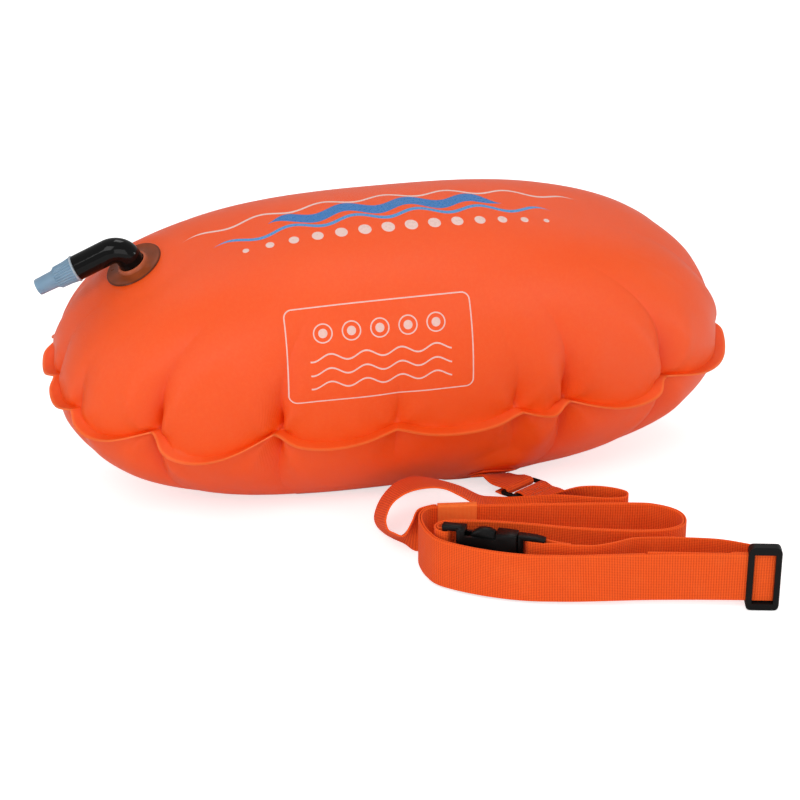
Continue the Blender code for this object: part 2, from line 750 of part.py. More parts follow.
def build_ring():
    """A moulded rectangular ring, bars round, as one closed loop of a round section."""
    plastic = material("black plastic", BLACK_PLASTIC, 0.35)
    matrix = ring_frame()
    half_x = RING_INNER_DEPTH / 2 + RING_BAR_RADIUS
    half_y = WEBBING_WIDTH / 2 + RING_SIDE_CLEARANCE + RING_BAR_RADIUS
    corner = RING_INNER_DEPTH / 4
    route = []
    for cx, cy, start in ((1, 1, 0), (-1, 1, 90), (-1, -1, 180), (1, -1, 270)):
        for k in range(4):
            angle = math.radians(start + 30 * k)
            x = cx * (half_x - corner) + corner * math.cos(angle)
            y = cy * (half_y - corner) + corner * math.sin(angle)
            route.append(Vector((x, y, 0)))
    rings = []
    count = len(route)
    for i, point in enumerate(route):
        along = (route[(i + 1) % count] - route[i - 1]).normalized()
        side = along.cross(Vector((0, 0, 1)))
        ring = []
        for k in range(10):
            angle = 2 * math.pi * k / 10
            offset = side * math.cos(angle) + Vector((0, 0, math.sin(angle)))
            ring.append(matrix @ (point + offset * RING_BAR_RADIUS))
        rings.append(ring)
    loft("anchor_ring", rings, plastic, closed=True, smooth_angle=math.radians(60))


# The leash

# Each point of the strap's middle: x and y as shares of BELT_LOOP_LENGTH, height as a share of
# WEBBING_WIDTH, then the direction of the strap's width
leash_route_shares = [
    (0.4333, 0.2542, 0.3053, 0.80, 0.52, -0.22),
    (0.4521, 0.2125, 0.3632, 0.82, 0.35, -0.42),
    (0.4667, 0.1625, 0.4368, 0.58, 0.30, -0.75),
    (0.4896, 0.1167, 0.5000, 0.24, 0.15, -0.96),
    (0.5250, 0.0833, 0.5211, 0.02, 0.03, -1.00),
    (0.5667, 0.0562, 0.5211, 0.00, 0.00, -1.00),
    (0.5958, 0.0229, 0.5211, 0.00, 0.00, -1.00),
    (0.5813, -0.0083, 0.5211, 0.00, 0.00, -1.00),
    (0.5292, -0.0125, 0.5211, 0.00, -0.10, -0.99),
    (0.4583, 0.0146, 0.5158, 0.00, -0.15, -0.99),
    (0.3833, 0.0500, 0.4868, 0.00, -0.34, -0.94),
    (0.3125, 0.0792, 0.4342, 0.00, -0.64, -0.77),
    (0.2458, 0.1021, 0.4868, 0.00, -0.90, -0.44),
    (0.1875, 0.1250, 0.6316, -0.15, -0.98, -0.05),
    (0.1354, 0.1542, 0.7895, -0.35, -0.89, 0.28),
    (0.0833, 0.1917, 0.9342, -0.30, -0.90, 0.30),
    (0.0250, 0.2208, 1.0395, -0.10, -0.95, 0.28),
    (-0.0375, 0.2354, 1.0789, 0.02, -0.97, 0.23),
    (-0.1000, 0.2375, 0.9868, 0.02, -0.96, 0.28),
    (-0.1479, 0.2312, 0.7632, 0.00, -0.93, 0.36),
    (-0.1750, 0.2104, 0.4921, 0.00, -0.92, 0.39),
    (-0.1742, 0.1896, 0.3184, 0.00, -0.92, 0.38),
    (-0.1604, 0.1583, 0.2763, -0.03, -0.89, 0.46),
    (-0.1375, 0.1229, 0.2816, 0.02, -0.87, 0.50),
    (-0.1117, 0.0950, 0.4340, -0.02, -0.60, 0.80),
    (-0.0833, 0.0842, 0.5132, 0.00, -0.08, 1.00),
]


def leash_route(steps=4):
    """The leash's centreline, and the direction of its width at each point."""
    ring, sleeve = ring_frame(), sleeve_frame()
    begin = RING_INNER_DEPTH / 2 + RING_BAR_RADIUS + LEASH_SEWN_LENGTH + GAP
    bar_axis = ring.to_3x3() @ Vector((0, 1, 0))
    points = [ring @ Vector((begin + further, 0, (WEBBING_THICKNESS + LAYER_GAP) / 2)) for further in (0, LEASH_LEAD_LENGTH)]
    axes = [bar_axis, bar_axis]
    for x_share, y_share, height_share, *axis in leash_route_shares:
        points.append(Vector((*belt_point(x_share, y_share, 0).xy, height_share * WEBBING_WIDTH)))
        axes.append(Vector(axis))
    wall = sleeve_half_size()[0]
    for further in (LEASH_LEAD_LENGTH, 0):
        points.append(sleeve @ Vector((-SLEEVE_LENGTH / 2 - GAP - further, wall, 0)))
        axes.append(Vector((0, 0, 1)))
    return catmull(points, steps), [axis.normalized() for axis in catmull(axes, steps)]


def build_leash():
    webbing = material("orange webbing", ORANGE_WEBBING, 0.8)
    route, axes = leash_route()
    ribbon("leash_webbing", route, axes, webbing, square=False)


def build_leash_ring_loop():
    """The leash's sewn end, folded round the ring's outer bar."""
    webbing = material("orange webbing", ORANGE_WEBBING, 0.8)
    matrix = ring_frame()
    radius = RING_BAR_RADIUS + GAP + WEBBING_THICKNESS / 2
    layer = (WEBBING_THICKNESS + LAYER_GAP) / 2
    bar_x = RING_INNER_DEPTH / 2 + RING_BAR_RADIUS
    spread = LAYER_SPREAD_LENGTH
    flat = [(bar_x + LEASH_SEWN_LENGTH, layer), (bar_x + spread, layer), (bar_x + radius, radius)]
    for k in range(9):
        angle = math.pi / 2 + math.pi * k / 8
        flat.append((bar_x + radius * math.cos(angle), radius * math.sin(angle)))
    flat += [(bar_x + radius, -radius), (bar_x + spread, -layer)]
    flat.append((bar_x + LEASH_SEWN_LENGTH, -layer))
    route = [matrix @ Vector((x, 0, z)) for x, z in flat]
    bar_axis = matrix.to_3x3() @ Vector((0, 1, 0))
    ribbon("leash_ring_loop", route, [bar_axis] * len(route), webbing)


# The belt

# The middle of the doubled stretch, from the adjuster slide round to the buckle: x and y as
# shares of BELT_LOOP_LENGTH, and the lift off the floor as a share of HARDWARE_LIFT
double_route_shares = [
    (0.8410, -0.5210, 1.28),
    (0.7180, -0.4845, 1.26),
    (0.6000, -0.4495, 1.18),
    (0.4904, -0.4170, 1.04),
    (0.3671, -0.3820, 0.80),
    (0.2625, -0.3480, 0.56),
    (0.1417, -0.3030, 0.42),
    (0.0260, -0.2370, 0.40),
    (-0.0700, -0.1540, 0.38),
    (-0.0960, -0.0880, 0.36),
    (-0.1000, -0.0200, 0.36),
    (-0.0890, 0.0320, 0.36),
    (-0.0660, 0.0620, 0.36),
    (-0.0360, 0.0700, 0.36),
    (0.0250, 0.0600, 0.36),
    (0.0917, 0.0475, 0.36),
    (0.2290, 0.0200, 0.30),
    (0.3667, -0.0060, 0.20),
    (0.5950, -0.0560, 0.05),
    (0.6600, -0.0850, 0.05),
    (0.7030, -0.1300, 0.05),
    (0.7130, -0.1800, 0.05),
    (0.6900, -0.2280, 0.05),
    (0.6250, -0.2460, 0.05),
    (0.5180, -0.2260, 0.10),
    (0.3580, -0.1720, 0.20),
    (0.2200, -0.1160, 0.40),
    (0.1125, -0.0820, 0.65),
    (0.0350, -0.0660, 0.85),
    (-0.0330, -0.0610, 1.06),
    (-0.0660, -0.0750, 1.06),
    (-0.0690, -0.0985, 1.06),
    (-0.0500, -0.1146, 1.06),
]
# The single stretch, from beside the adjuster slide to the buckle's male half
single_route_shares = [
    (0.9150, -0.5445, 1.28),
    (0.9215, -0.5250, 1.27),
    (0.9080, -0.5040, 1.24),
    (0.8740, -0.4810, 1.18),
    (0.8250, -0.4370, 1.10),
    (0.7500, -0.3830, 1.00),
    (0.6600, -0.3440, 0.90),
    (0.5830, -0.3200, 0.90),
    (0.5000, -0.3060, 0.95),
    (0.4250, -0.3220, 1.06),
    (0.3620, -0.3240, 1.06),
]


def belt_point(x_share, y_share, lift_share):
    """A place in the belt's plan, which lies in front of the bladder."""
    front = -(BLADDER_HALF_WIDTH + BELT_STANDOFF)
    height = WEBBING_WIDTH / 2 + HARDWARE_LIFT * lift_share
    return Vector((x_share * BELT_LOOP_LENGTH, front + y_share * BELT_LOOP_LENGTH, height))


def plan_left(along):
    return Vector((-along.y, along.x, 0)).normalized()


def smoothstep(share):
    share = min(1.0, max(0.0, share))
    return share * share * (3 - 2 * share)


def looped_route(route, bar_radius, hold=0.0):
    """Both layers of a strap that comes along a route and turns back round a bar at its end.

    Gives the incoming layer with the turn, and the returning layer, from the bar outwards.
    """
    layer = (WEBBING_THICKNESS + LAYER_GAP) / 2
    wide = bar_radius + GAP + WEBBING_THICKNESS / 2
    bar = route[-1]
    incoming, returning = [], []
    for point, along in zip(route, tangents(route)):
        spread = 1 - smoothstep(((point - bar).length - hold) / LAYER_SPREAD_LENGTH)
        offset = plan_left(along) * (layer + (wide - layer) * spread)
        incoming.append(point + offset)
        returning.append(point - offset)
    along = tangents(route)[-1]
    left = plan_left(along)
    for k in range(1, 8):
        angle = math.pi * k / 8
        incoming.append(bar + left * (wide * math.cos(angle)) + along * (wide * math.sin(angle)))
    return incoming, returning[::-1]


def upright(route):
    return [Vector((0, 0, 1))] * len(route)


def glide_frame():
    """Origin in the adjuster slide's middle, X along the strap, Y to the back, Z up."""
    place, next_place = (belt_point(*double_route_shares[k]) for k in (0, 1))
    next_place.z = place.z
    return frame_matrix(place, place - next_place, Vector((0, 0, 1)))


def build_belt():
    """The long piece of webbing: through the adjuster, round both bends, and back from the buckle."""
    webbing = material("orange webbing", ORANGE_WEBBING, 0.8)
    route = catmull([belt_point(*shares) for shares in double_route_shares], 3)
    start = glide_frame() @ Vector((GLIDE_HALF_LENGTH + GLIDE_STRAP_OVERHANG, 0, 0))
    incoming, returning = looped_route([start] + route, BUCKLE_BAR_RADIUS)
    stop = glide_frame() @ Vector((-BELT_ADJUSTER_END_LENGTH - WEBBING_THICKNESS, 0, 0))
    layer = (WEBBING_THICKNESS + LAYER_GAP) / 2
    stop -= plan_left(route[1] - route[0]) * layer
    stop.z = belt_point(*double_route_shares[3]).z
    left_of_stop = [p for p in returning if (p - returning[0]).length < GAP or not between(p, stop, start)]
    path = incoming + left_of_stop + [stop]
    ribbon("belt_webbing", path, upright(path), webbing)


def between(point, stop, start):
    """Whether a point of the straight stretch lies to the right of where the long piece stops."""
    along = (start - stop).normalized()
    offset = point - stop
    beside = (offset - along * offset.dot(along)).length
    return offset.dot(along) > -GAP and beside < WEBBING_WIDTH / 4


def build_adjuster_end():
    """The webbing's sewn end, folded round the adjuster slide's middle bar."""
    webbing = material("orange webbing", ORANGE_WEBBING, 0.8)
    matrix = glide_frame()
    layer = (WEBBING_THICKNESS + LAYER_GAP) / 2
    half_bar = GLIDE_BAR_THICKNESS / 2
    bar_middle = layer + WEBBING_THICKNESS / 2 + GAP + half_bar
    radius = half_bar + GAP + WEBBING_THICKNESS / 2
    half_width = GLIDE_CENTRE_BAR_WIDTH / 2
    flat = [(-BELT_ADJUSTER_END_LENGTH, layer)]
    flat += [(-GLIDE_FOLD_LENGTH, layer), (-half_width, bar_middle - radius)]
    for k in range(9):
        angle = -math.pi / 2 + math.pi * k / 8
        flat.append((half_width + radius * math.cos(angle), bar_middle + radius * math.sin(angle)))
    close = layer + WEBBING_THICKNESS + GAP
    flat += [(-half_width - GAP, bar_middle + radius), (-2 * half_width - radius, close + radius / 2)]
    flat += [(-half_width - 3 * radius, close), (-GLIDE_FOLD_LENGTH, close)]
    route = [matrix @ Vector((x, y, 0)) for x, y in flat]
    ribbon("belt_adjuster_end", route, upright(route), webbing)


def buckle_frame():
    """Origin in the middle of the female half's bar, X to the male half, Z up."""
    place = belt_point(*double_route_shares[-1])
    heading = Vector((math.cos(BUCKLE_HEADING), math.sin(BUCKLE_HEADING), 0))
    return frame_matrix(place, heading, Vector((0, 0, 1)))


def build_buckle_end():
    """The webbing from beside the adjuster slide, round and back to the buckle's male half."""
    webbing = material("orange webbing", ORANGE_WEBBING, 0.8)
    glide, buckle = glide_frame(), buckle_frame()
    layer = (WEBBING_THICKNESS + LAYER_GAP) / 2
    begin = GLIDE_HALF_LENGTH + GLIDE_STRAP_OVERHANG + GAP
    lead = [glide @ Vector((begin + further, -2 * layer, 0)) for further in (0, WEBBING_THICKNESS * 2)]
    middle = [belt_point(*shares) for shares in single_route_shares]
    bar = buckle @ Vector((MALE_BAR_PLACE, 0, 0))
    approach = [
        buckle @ Vector((MALE_BAR_PLACE + MALE_SPREAD_HOLD + LAYER_SPREAD_LENGTH * share, 0, 0))
        for share in (2.0, 1.0, 0.5, 0.0)
    ]
    route = catmull(lead + middle + approach[:1], 3)[:-1] + approach + [bar]
    incoming, returning = looped_route(route, MALE_BAR_RADIUS, MALE_SPREAD_HOLD)
    path = incoming + returning[: len(approach) + 1]
    ribbon("belt_buckle_end", path, upright(path), webbing)


def sleeve_frame():
    """Origin in the middle of the sleeve, X along the belt, Z up."""
    first, last = (belt_point(*double_route_shares[k]) for k in (14, 15))
    along = (last - first).normalized()
    place = first.lerp(last, (SLEEVE_CENTRE_SHARE * BELT_LOOP_LENGTH - first.x) / (last.x - first.x))
    return frame_matrix(place, along, Vector((0, 0, 1)))


def sleeve_half_size():
    """How far the middle of the sleeve's wall is from the belt's middle, across and up."""
    across = WEBBING_THICKNESS * 1.5 + LAYER_GAP / 2 + SLEEVE_CLEARANCE
    return across, WEBBING_WIDTH / 2 + SLEEVE_CLEARANCE + WEBBING_THICKNESS / 2


def build_sleeve():
    """The leash's other end, folded and sewn round both layers of the belt."""
    webbing = material("orange webbing", ORANGE_WEBBING, 0.8)
    matrix = sleeve_frame()
    half_y, half_z = sleeve_half_size()
    rings = []
    for cy, cz, start in ((1, 1, 0), (-1, 1, 90), (-1, -1, 180), (1, -1, 270)):
        for k in range(4):
            angle = math.radians(start + 30 * k)
            outward = Vector((0, math.cos(angle), math.sin(angle)))
            corner = Vector((0, cy * (half_y - SLEEVE_CORNER), cz * (half_z - SLEEVE_CORNER)))
            face = outward * (WEBBING_THICKNESS / 2)
            point = corner + outward * SLEEVE_CORNER
            half = Vector((SLEEVE_LENGTH / 2, 0, 0))
            ring = [point + half + face, point + half - face, point - half - face, point - half + face]
            rings.append([matrix @ corner_point for corner_point in ring])
    loft("leash_end_loop", rings, webbing, closed=True, smooth_angle=math.radians(35))


def build_glide():
    plastic = material("black plastic", BLACK_PLASTIC, 0.35)
    matrix = glide_frame()
    layer = (WEBBING_THICKNESS + LAYER_GAP) / 2
    near = layer + WEBBING_THICKNESS / 2 + GAP
    far = near + GLIDE_BAR_THICKNESS
    length, height = GLIDE_HALF_LENGTH, GLIDE_HALF_HEIGHT
    opening = GLIDE_OPENING_HALF_HEIGHT
    glide = box("triglide", (-length, -far, -height), (length, far, height), plastic, matrix)
    bevel(glide, GLIDE_CORNER, 1)
    inside = length - GLIDE_END_BAR_WIDTH
    low, high = (-inside, -far - CUT_OVERRUN, -opening), (inside, near, opening)
    boolean(glide, box("glide_front_opening", low, high, plastic, matrix))
    for side in (-1, 1):
        edges = sorted((side * GLIDE_CENTRE_BAR_WIDTH / 2, side * (length + CUT_OVERRUN)))
        low = (edges[0], -near, GAP - opening)
        high = (edges[1], far + CUT_OVERRUN, opening - GAP)
        boolean(glide, box(f"glide_back_opening_{side}", low, high, plastic, matrix))


def build_female():
    plastic = material("black plastic", BLACK_PLASTIC, 0.35)
    matrix = buckle_frame()
    thick = BUCKLE_HALF_THICKNESS
    wide = FEMALE_HALF_WIDTH
    body = box("buckle_female", (FEMALE_SLOT_END, -thick, -wide), (FEMALE_MOUTH, thick, wide), plastic, matrix)
    bevel(body, BUCKLE_ROUNDING, 2)
    low = (FEMALE_CAVITY_START, -CAVITY_HALF_THICKNESS, -CAVITY_HALF_WIDTH)
    high = (FEMALE_MOUTH + CUT_OVERRUN, CAVITY_HALF_THICKNESS, CAVITY_HALF_WIDTH)
    boolean(body, box("female_cavity", low, high, plastic, matrix))
    for side in (-1, 1):
        edges = sorted((side * FEMALE_WAIST_HALF_WIDTH, side * (wide + CUT_OVERRUN)))
        low = (FEMALE_WAIST_START, -thick - CUT_OVERRUN, edges[0])
        high = (FEMALE_WAIST_END, thick + CUT_OVERRUN, edges[1])
        boolean(body, box(f"female_waist_{side}", low, high, plastic, matrix))
        edges = sorted((side * PRONG_INNER, side * BUCKLE_HALF_WIDTH))
        low = (-BUCKLE_BAR_RADIUS, -PRONG_HALF_THICKNESS, edges[0])
        high = (FEMALE_CAVITY_START, PRONG_HALF_THICKNESS, edges[1])
        prong = box(f"female_prong_{side}", low, high, plastic, matrix)
        bevel(prong, BUCKLE_ROUNDING, 2)
        boolean(body, prong, "UNION")
    reach = (PRONG_INNER + BUCKLE_HALF_WIDTH) / 2
    route = [matrix @ Vector((0, 0, -reach)), matrix @ Vector((0, 0, reach))]
    bar = loft("female_bar", tube_rings(route, BUCKLE_BAR_RADIUS, 16, Vector((1, 0, 0))), plastic)
    boolean(body, bar, "UNION")


def prism(name, outline, half_thickness, mat, matrix):
    """A flat outline of (along, across) points, made solid through the buckle's thickness."""
    rings = []
    for y in (-half_thickness, half_thickness):
        rings.append([matrix @ Vector((x, y, z)) for x, z in outline])
    return loft(name, rings, mat, smooth_angle=math.radians(30))


def build_male():
    plastic = material("black plastic", BLACK_PLASTIC, 0.35)
    matrix = buckle_frame()
    start = FEMALE_MOUTH + GAP
    waist = (MALE_BAR_PLACE + MALE_TIP_BAR_START) / 2
    upper = [(start, MALE_HALF_WIDTH), (waist, MALE_HALF_WIDTH - GAP), (MALE_TIP, MALE_TIP_HALF_WIDTH)]
    outline = upper + [(x, -z) for x, z in reversed(upper)]
    male = prism("buckle_male", outline, CAVITY_HALF_THICKNESS, plastic, matrix)
    bevel(male, ARM_ROUNDING, 2)
    inner = WEBBING_WIDTH / 2 + GAP
    deep = CAVITY_HALF_THICKNESS + CUT_OVERRUN
    low = (MALE_BLOCK_END, -deep, -inner)
    high = (MALE_TIP_BAR_START, deep, inner)
    boolean(male, box("male_slot", low, high, plastic, matrix))
    for side in (-1, 1):
        edges = sorted((side * MALE_TIP_BAR_HALF_THICKNESS, side * deep))
        low = (MALE_TIP_BAR_START - GAP, edges[0], -inner)
        high = (MALE_TIP + CUT_OVERRUN, edges[1], inner)
        boolean(male, box(f"male_tip_relief_{side}", low, high, plastic, matrix))
    reach = inner + ARM_ROUNDING
    route = [matrix @ Vector((MALE_BAR_PLACE, 0, -reach)), matrix @ Vector((MALE_BAR_PLACE, 0, reach))]
    bar = loft("male_bar", tube_rings(route, MALE_BAR_RADIUS, 16, Vector((1, 0, 0))), plastic)
    boolean(male, bar, "UNION")
    half, thin = TONGUE_HALF_WIDTH, TONGUE_HALF_THICKNESS
    tongue_outline = [
        (start + ARM_ROUNDING, half),
        (start + ARM_ROUNDING, -half),
        (TONGUE_START + half, -half),
        (TONGUE_START, -half / 2),
        (TONGUE_START, half / 2),
        (TONGUE_START + half, half),
    ]
    tongue = prism("male_tongue", tongue_outline, thin, plastic, matrix)
    boolean(male, tongue, "UNION")


# One release arm, from its root round its catch: along from the pivot, and across from it,
# as shares of the length from the pivot to the arm's end
arm_outline_shares = [
    (0.042, -0.018),
    (0.015, -0.045),
    (-0.345, -0.036),
    (-0.645, 0.015),
    (-0.885, 0.045),
    (-0.985, 0.076),
    (-1.000, 0.121),
    (-0.935, 0.227),
    (-0.800, 0.320),
    (-0.680, 0.340),
    (-0.560, 0.330),
    (-0.455, 0.285),
    (-0.430, 0.255),
    (-0.430, 0.179),
    (-0.380, 0.097),
    (-0.230, 0.067),
    (0.015, 0.045),
    (0.042, 0.018),
]
ARM_LENGTH = ARM_PIVOT_PLACE - FEMALE_WAIST_START - ARM_ROOT_RADIUS - CUT_OVERRUN


def build_arm(name, side):
    """A sprung arm, with its origin on the line that it bends about."""
    plastic = material("black plastic", BLACK_PLASTIC, 0.35)
    outline = [(x * ARM_LENGTH, side * z * ARM_LENGTH) for x, z in arm_outline_shares]
    arm = prism(name, outline, ARM_HALF_THICKNESS, plastic, Matrix.Identity(4))
    bevel(arm, ARM_ROUNDING, 1)
    pivot = Matrix.Translation(Vector((ARM_PIVOT_PLACE, 0, side * ARM_PIVOT_OFFSET)))
    arm.matrix_world = buckle_frame() @ pivot


def build_everything():
    clear_scene()
    fabric = material("orange fabric", ORANGE_FABRIC, 0.45)
    upper = panel("upper_panel", 1, fabric)
    panel("lower_panel", -1, fabric)
    end, arm, normal = build_valve(upper)
    build_insert(end, arm, normal)
    build_seal(end, arm, normal)
    build_mouthpiece(end, arm, normal)
    build_patch()
    build_tab()
    build_ring()
    build_leash()
    build_leash_ring_loop()
    build_sleeve()
    build_belt()
    build_adjuster_end()
    build_buckle_end()
    build_glide()
    build_female()
    build_male()
    build_arm("release_arm_upper", 1)
    build_arm("release_arm_lower", -1)


build_everything()
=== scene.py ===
import math

import bpy
from mathutils import Matrix, Vector, noise


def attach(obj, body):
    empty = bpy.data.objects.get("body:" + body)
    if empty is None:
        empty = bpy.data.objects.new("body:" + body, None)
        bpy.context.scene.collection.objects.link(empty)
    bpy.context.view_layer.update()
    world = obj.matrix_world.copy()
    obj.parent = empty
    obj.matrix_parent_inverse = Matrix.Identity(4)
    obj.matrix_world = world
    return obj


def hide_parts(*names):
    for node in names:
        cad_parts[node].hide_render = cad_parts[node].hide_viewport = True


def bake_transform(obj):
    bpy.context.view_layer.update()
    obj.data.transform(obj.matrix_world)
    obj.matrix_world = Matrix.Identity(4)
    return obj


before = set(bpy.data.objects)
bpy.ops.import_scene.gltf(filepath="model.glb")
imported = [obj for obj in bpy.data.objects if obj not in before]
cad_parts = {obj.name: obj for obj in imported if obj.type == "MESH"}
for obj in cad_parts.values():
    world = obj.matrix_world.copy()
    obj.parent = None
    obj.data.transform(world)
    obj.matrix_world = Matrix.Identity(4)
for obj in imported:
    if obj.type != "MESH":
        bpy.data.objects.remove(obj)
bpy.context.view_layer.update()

# The running gap between pieces that meet, how close merged points are, and a length that
# counts as none
GAP = 0.0003
MERGE_DISTANCE = 1e-6
TINY = 1e-9

# Bladder: two coated-fabric panels, welded round the edge
BLADDER_HALF_LENGTH = 0.2700
BLADDER_HALF_WIDTH = 0.1120
UPPER_HEIGHT = 0.1225
LOWER_HEIGHT = 0.1125
FABRIC_THICKNESS = 0.0006
WELD_FLANGE_WIDTH = 0.0085
FLOOR_CUT = 0.0010
BLADDER_ROLL = math.radians(13.4)
BLADDER_SETBACK = 0.0070
CROWN_SHARE = 0.020
PLAN_SQUARENESS = 3.0
UPPER_SQUARENESS = 2.16
LOWER_SQUARENESS = 2.40

# Puckers of the weld: the plan angle of each, its depth as a share of the deepest, and how far
# the weld sags between it and the next one, as a share of the deepest sag
PUCKER_DEPTH = 0.0125
PUCKER_WIDTH = math.radians(3.4)
PUCKER_RISE = 0.060
SAG_DEPTH = 0.0170
SAG_BULGE = 0.0060
pucker_shares = [
    (22, 0.80, 0.45),
    (46, 1.00, 0.35),
    (64, 0.60, 0.55),
    (88, 0.30, 0.60),
    (112, 0.90, 0.50),
    (135, 1.00, 0.60),
    (158, 0.60, 0.45),
    (182, 0.35, 0.35),
    (204, 0.30, 0.55),
    (225, 1.00, 1.00),
    (245, 0.90, 0.52),
    (265, 0.25, 0.42),
    (286, 0.40, 0.30),
    (295, 0.90, 0.62),
    (314, 1.00, 0.60),
    (352, 1.00, 0.50),
]

# Valve: welded flange, bent tube, threaded insert, seal ring and mouthpiece
VALVE_PLAN_ANGLE = math.radians(169)
VALVE_RING_SHARE = 0.555
VALVE_ARM_HEADING = math.radians(176)
VALVE_FLANGE_RADIUS = 0.0235
VALVE_FLANGE_THICKNESS = 0.0008
VALVE_FLAT_BLEND = 0.020
VALVE_COLLAR_HEIGHT = 0.0028
VALVE_COLLAR_WALL = 0.0022
TUBE_OUTER_RADIUS = 0.0100
TUBE_WALL = 0.0025
TUBE_STEM_LENGTH = 0.0080
TUBE_BEND_RADIUS = 0.0115
TUBE_ARM_LENGTH = 0.0270
INSERT_NOSE_RADIUS = 0.0055
INSERT_NOSE_LENGTH = 0.0170
PLUG_RADIUS = 0.0026
PLUG_LENGTH = 0.0045
PLUG_SEAT_SHARE = 0.55
SEAL_SECTION_RADIUS = 0.0009
SEAL_INSET = 0.0045
MOUTHPIECE_LENGTH = 0.0345
MOUTHPIECE_TIP_RADIUS = 0.0066
MOUTHPIECE_RIB_DEPTH = 0.0007
MOUTHPIECE_RIBS = 24
MOUTHPIECE_GRIP_LENGTH = 0.0165
MOUTHPIECE_WAIST_SHARE = 0.93

# Webbing, the same for the belt, the leash and the anchor tab
WEBBING_WIDTH = 0.0380
WEBBING_THICKNESS = 0.0013
LAYER_GAP = 0.0005

# Anchor: welded patch, webbing tab and ring
PATCH_CENTRE_X = 0.0670
PATCH_ANGLE = math.radians(33.5)
PATCH_THICKNESS = 0.0010
PATCH_FLAT_RADIUS = 0.0240
PATCH_FLAT_BLEND = 0.0200
PATCH_SEARCH_RINGS = 400
PATCH_SEARCH_DEGREES = range(270, 290)
RING_CENTRE_X = 0.0855
RING_CENTRE_Y = -0.0875
RING_CENTRE_Z = 0.0100
RING_HEADING = math.radians(39.0)
RING_TILT = math.radians(-8.0)
RING_BAR_RADIUS = 0.0019
RING_INNER_DEPTH = 0.0085
RING_SIDE_CLEARANCE = 0.0010
TAB_SEWN_LENGTH = 0.0150
TAB_LEAD_LENGTH = 0.0050
LEASH_SEWN_LENGTH = 0.0125
LEASH_LEAD_LENGTH = 0.0040

# Waist belt: the laid loop, and the hardware on it
BELT_LOOP_LENGTH = 0.2400
BELT_STANDOFF = 0.0600
BELT_ADJUSTER_END_LENGTH = 0.0850
HARDWARE_LIFT = 0.0055
LAYER_SPREAD_LENGTH = 0.0090
SLEEVE_CENTRE_SHARE = 0.0380
SLEEVE_LENGTH = 0.0300
SLEEVE_CLEARANCE = 0.0006
SLEEVE_CORNER = 0.0014

# Adjuster slide
GLIDE_HALF_LENGTH = 0.0123
GLIDE_HALF_HEIGHT = 0.0260
GLIDE_BAR_THICKNESS = 0.0026
GLIDE_CENTRE_BAR_WIDTH = 0.0042
GLIDE_STRAP_OVERHANG = 0.0010
GLIDE_FOLD_LENGTH = 0.0240

# Side-release buckle: its heading, its bars, and where its webbing spreads
BUCKLE_HEADING = math.radians(-28.7)
BUCKLE_BAR_RADIUS = 0.0022
MALE_BAR_PLACE = 0.0648
MALE_BAR_RADIUS = 0.0020
MALE_SPREAD_HOLD = 0.0115

# Colours, as the lit surface shows them
ORANGE_SKIN = (0.96, 0.090, 0.003)
ORANGE_SKIN_DEEP = (0.94, 0.082, 0.003)
# Painted shade deep in the folds of the skin
ORANGE_SKIN_FOLD_SHADE = (0.80, 0.036, 0.002)
# Pale orange: random flecks and webbing wear, and also the painted highlight along the weld's edge
ORANGE_SKIN_PALE = (1.00, 0.20, 0.04)
ORANGE_THREAD = (0.94, 0.116, 0.010)
SLEEVE_THREAD = (1.00, 0.22, 0.04)
ORANGE_THREAD_DEEP = (0.62, 0.050, 0.005)
BLACK_MOULDED = (0.004, 0.004, 0.004)
BLACK_HANDLED = (0.010, 0.010, 0.010)
BLACK_VINYL = (0.003, 0.003, 0.003)
BROWN_FILM = (0.20, 0.042, 0.012)
BROWN_FILM_WARM = (0.33, 0.064, 0.016)
BROWN_FILM_DEEP = (0.085, 0.020, 0.008)
# A painted reflection of the orange skin on the valve's collar
BROWN_FILM_COLLAR_REFLECTION = (0.62, 0.14, 0.060)
PALE_BLUE = (0.20, 0.36, 0.52)
PALE_BLUE_LIGHT = (0.34, 0.50, 0.64)
PALE_BLUE_RIM = (0.62, 0.68, 0.72)
WHITE_PLASTIC = (0.75, 0.75, 0.73)
WHITE_PLASTIC_DEEP = tuple(part * 0.9 for part in WHITE_PLASTIC)
SEWING_THREAD = (0.72, 0.10, 0.012)
PAPER = (0.86, 0.86, 0.86)
WHITE = (1.0, 1.0, 1.0, 1.0)
PRINT_BLUE = (0.035, 0.19, 0.50)
PRINT_SKY = (0.08, 0.30, 0.62)
PRINT_PALE = (0.86, 0.60, 0.54)

# How fine each finish's mottling is, as the scale of its noise
SKIN_MOTTLE = 9.0
SKIN_GRAIN = 420.0
WEBBING_WEAR = 55.0
WEBBING_FUZZ = 900.0
MOULD_GRAIN = 1400.0
MOULD_WEAR = 60.0
VINYL_FLOW = 45.0
VINYL_DUST = 700.0
FILM_CLOUD = 70.0
BLUE_CLOUD = 110.0
WHITE_CLOUD = 200.0
RUBBER_CLOUD = 300.0

# How deep each finish's relief is
SKIN_RELIEF = 0.00012
WEAVE_RELIEF = 0.00030
MOULD_RELIEF = 0.00006
VINYL_RELIEF = 0.00012
FILM_RELIEF = 0.00015
BLUE_RELIEF = 0.00008
FINE_RELIEF = 0.00005

# Where a finish changes on its piece, and how strongly; the weld's pale edge is a painted highlight, the dark
# line in the folds is painted shade, and the collar's pink is a painted reflection
WELD_EDGE_HIGHLIGHT = 0.75
FOLD_SHADE = 0.85
THREAD_SHADE = 0.7
FRONT_PRINT_STRENGTH = 0.9
FILM_RIM_START = VALVE_FLANGE_RADIUS * 0.93
COLLAR_REFLECTION_EDGE = (0.0115, 0.0135)
MOUTHPIECE_RIM_LENGTH = 2.4 * MOUTHPIECE_RIB_DEPTH

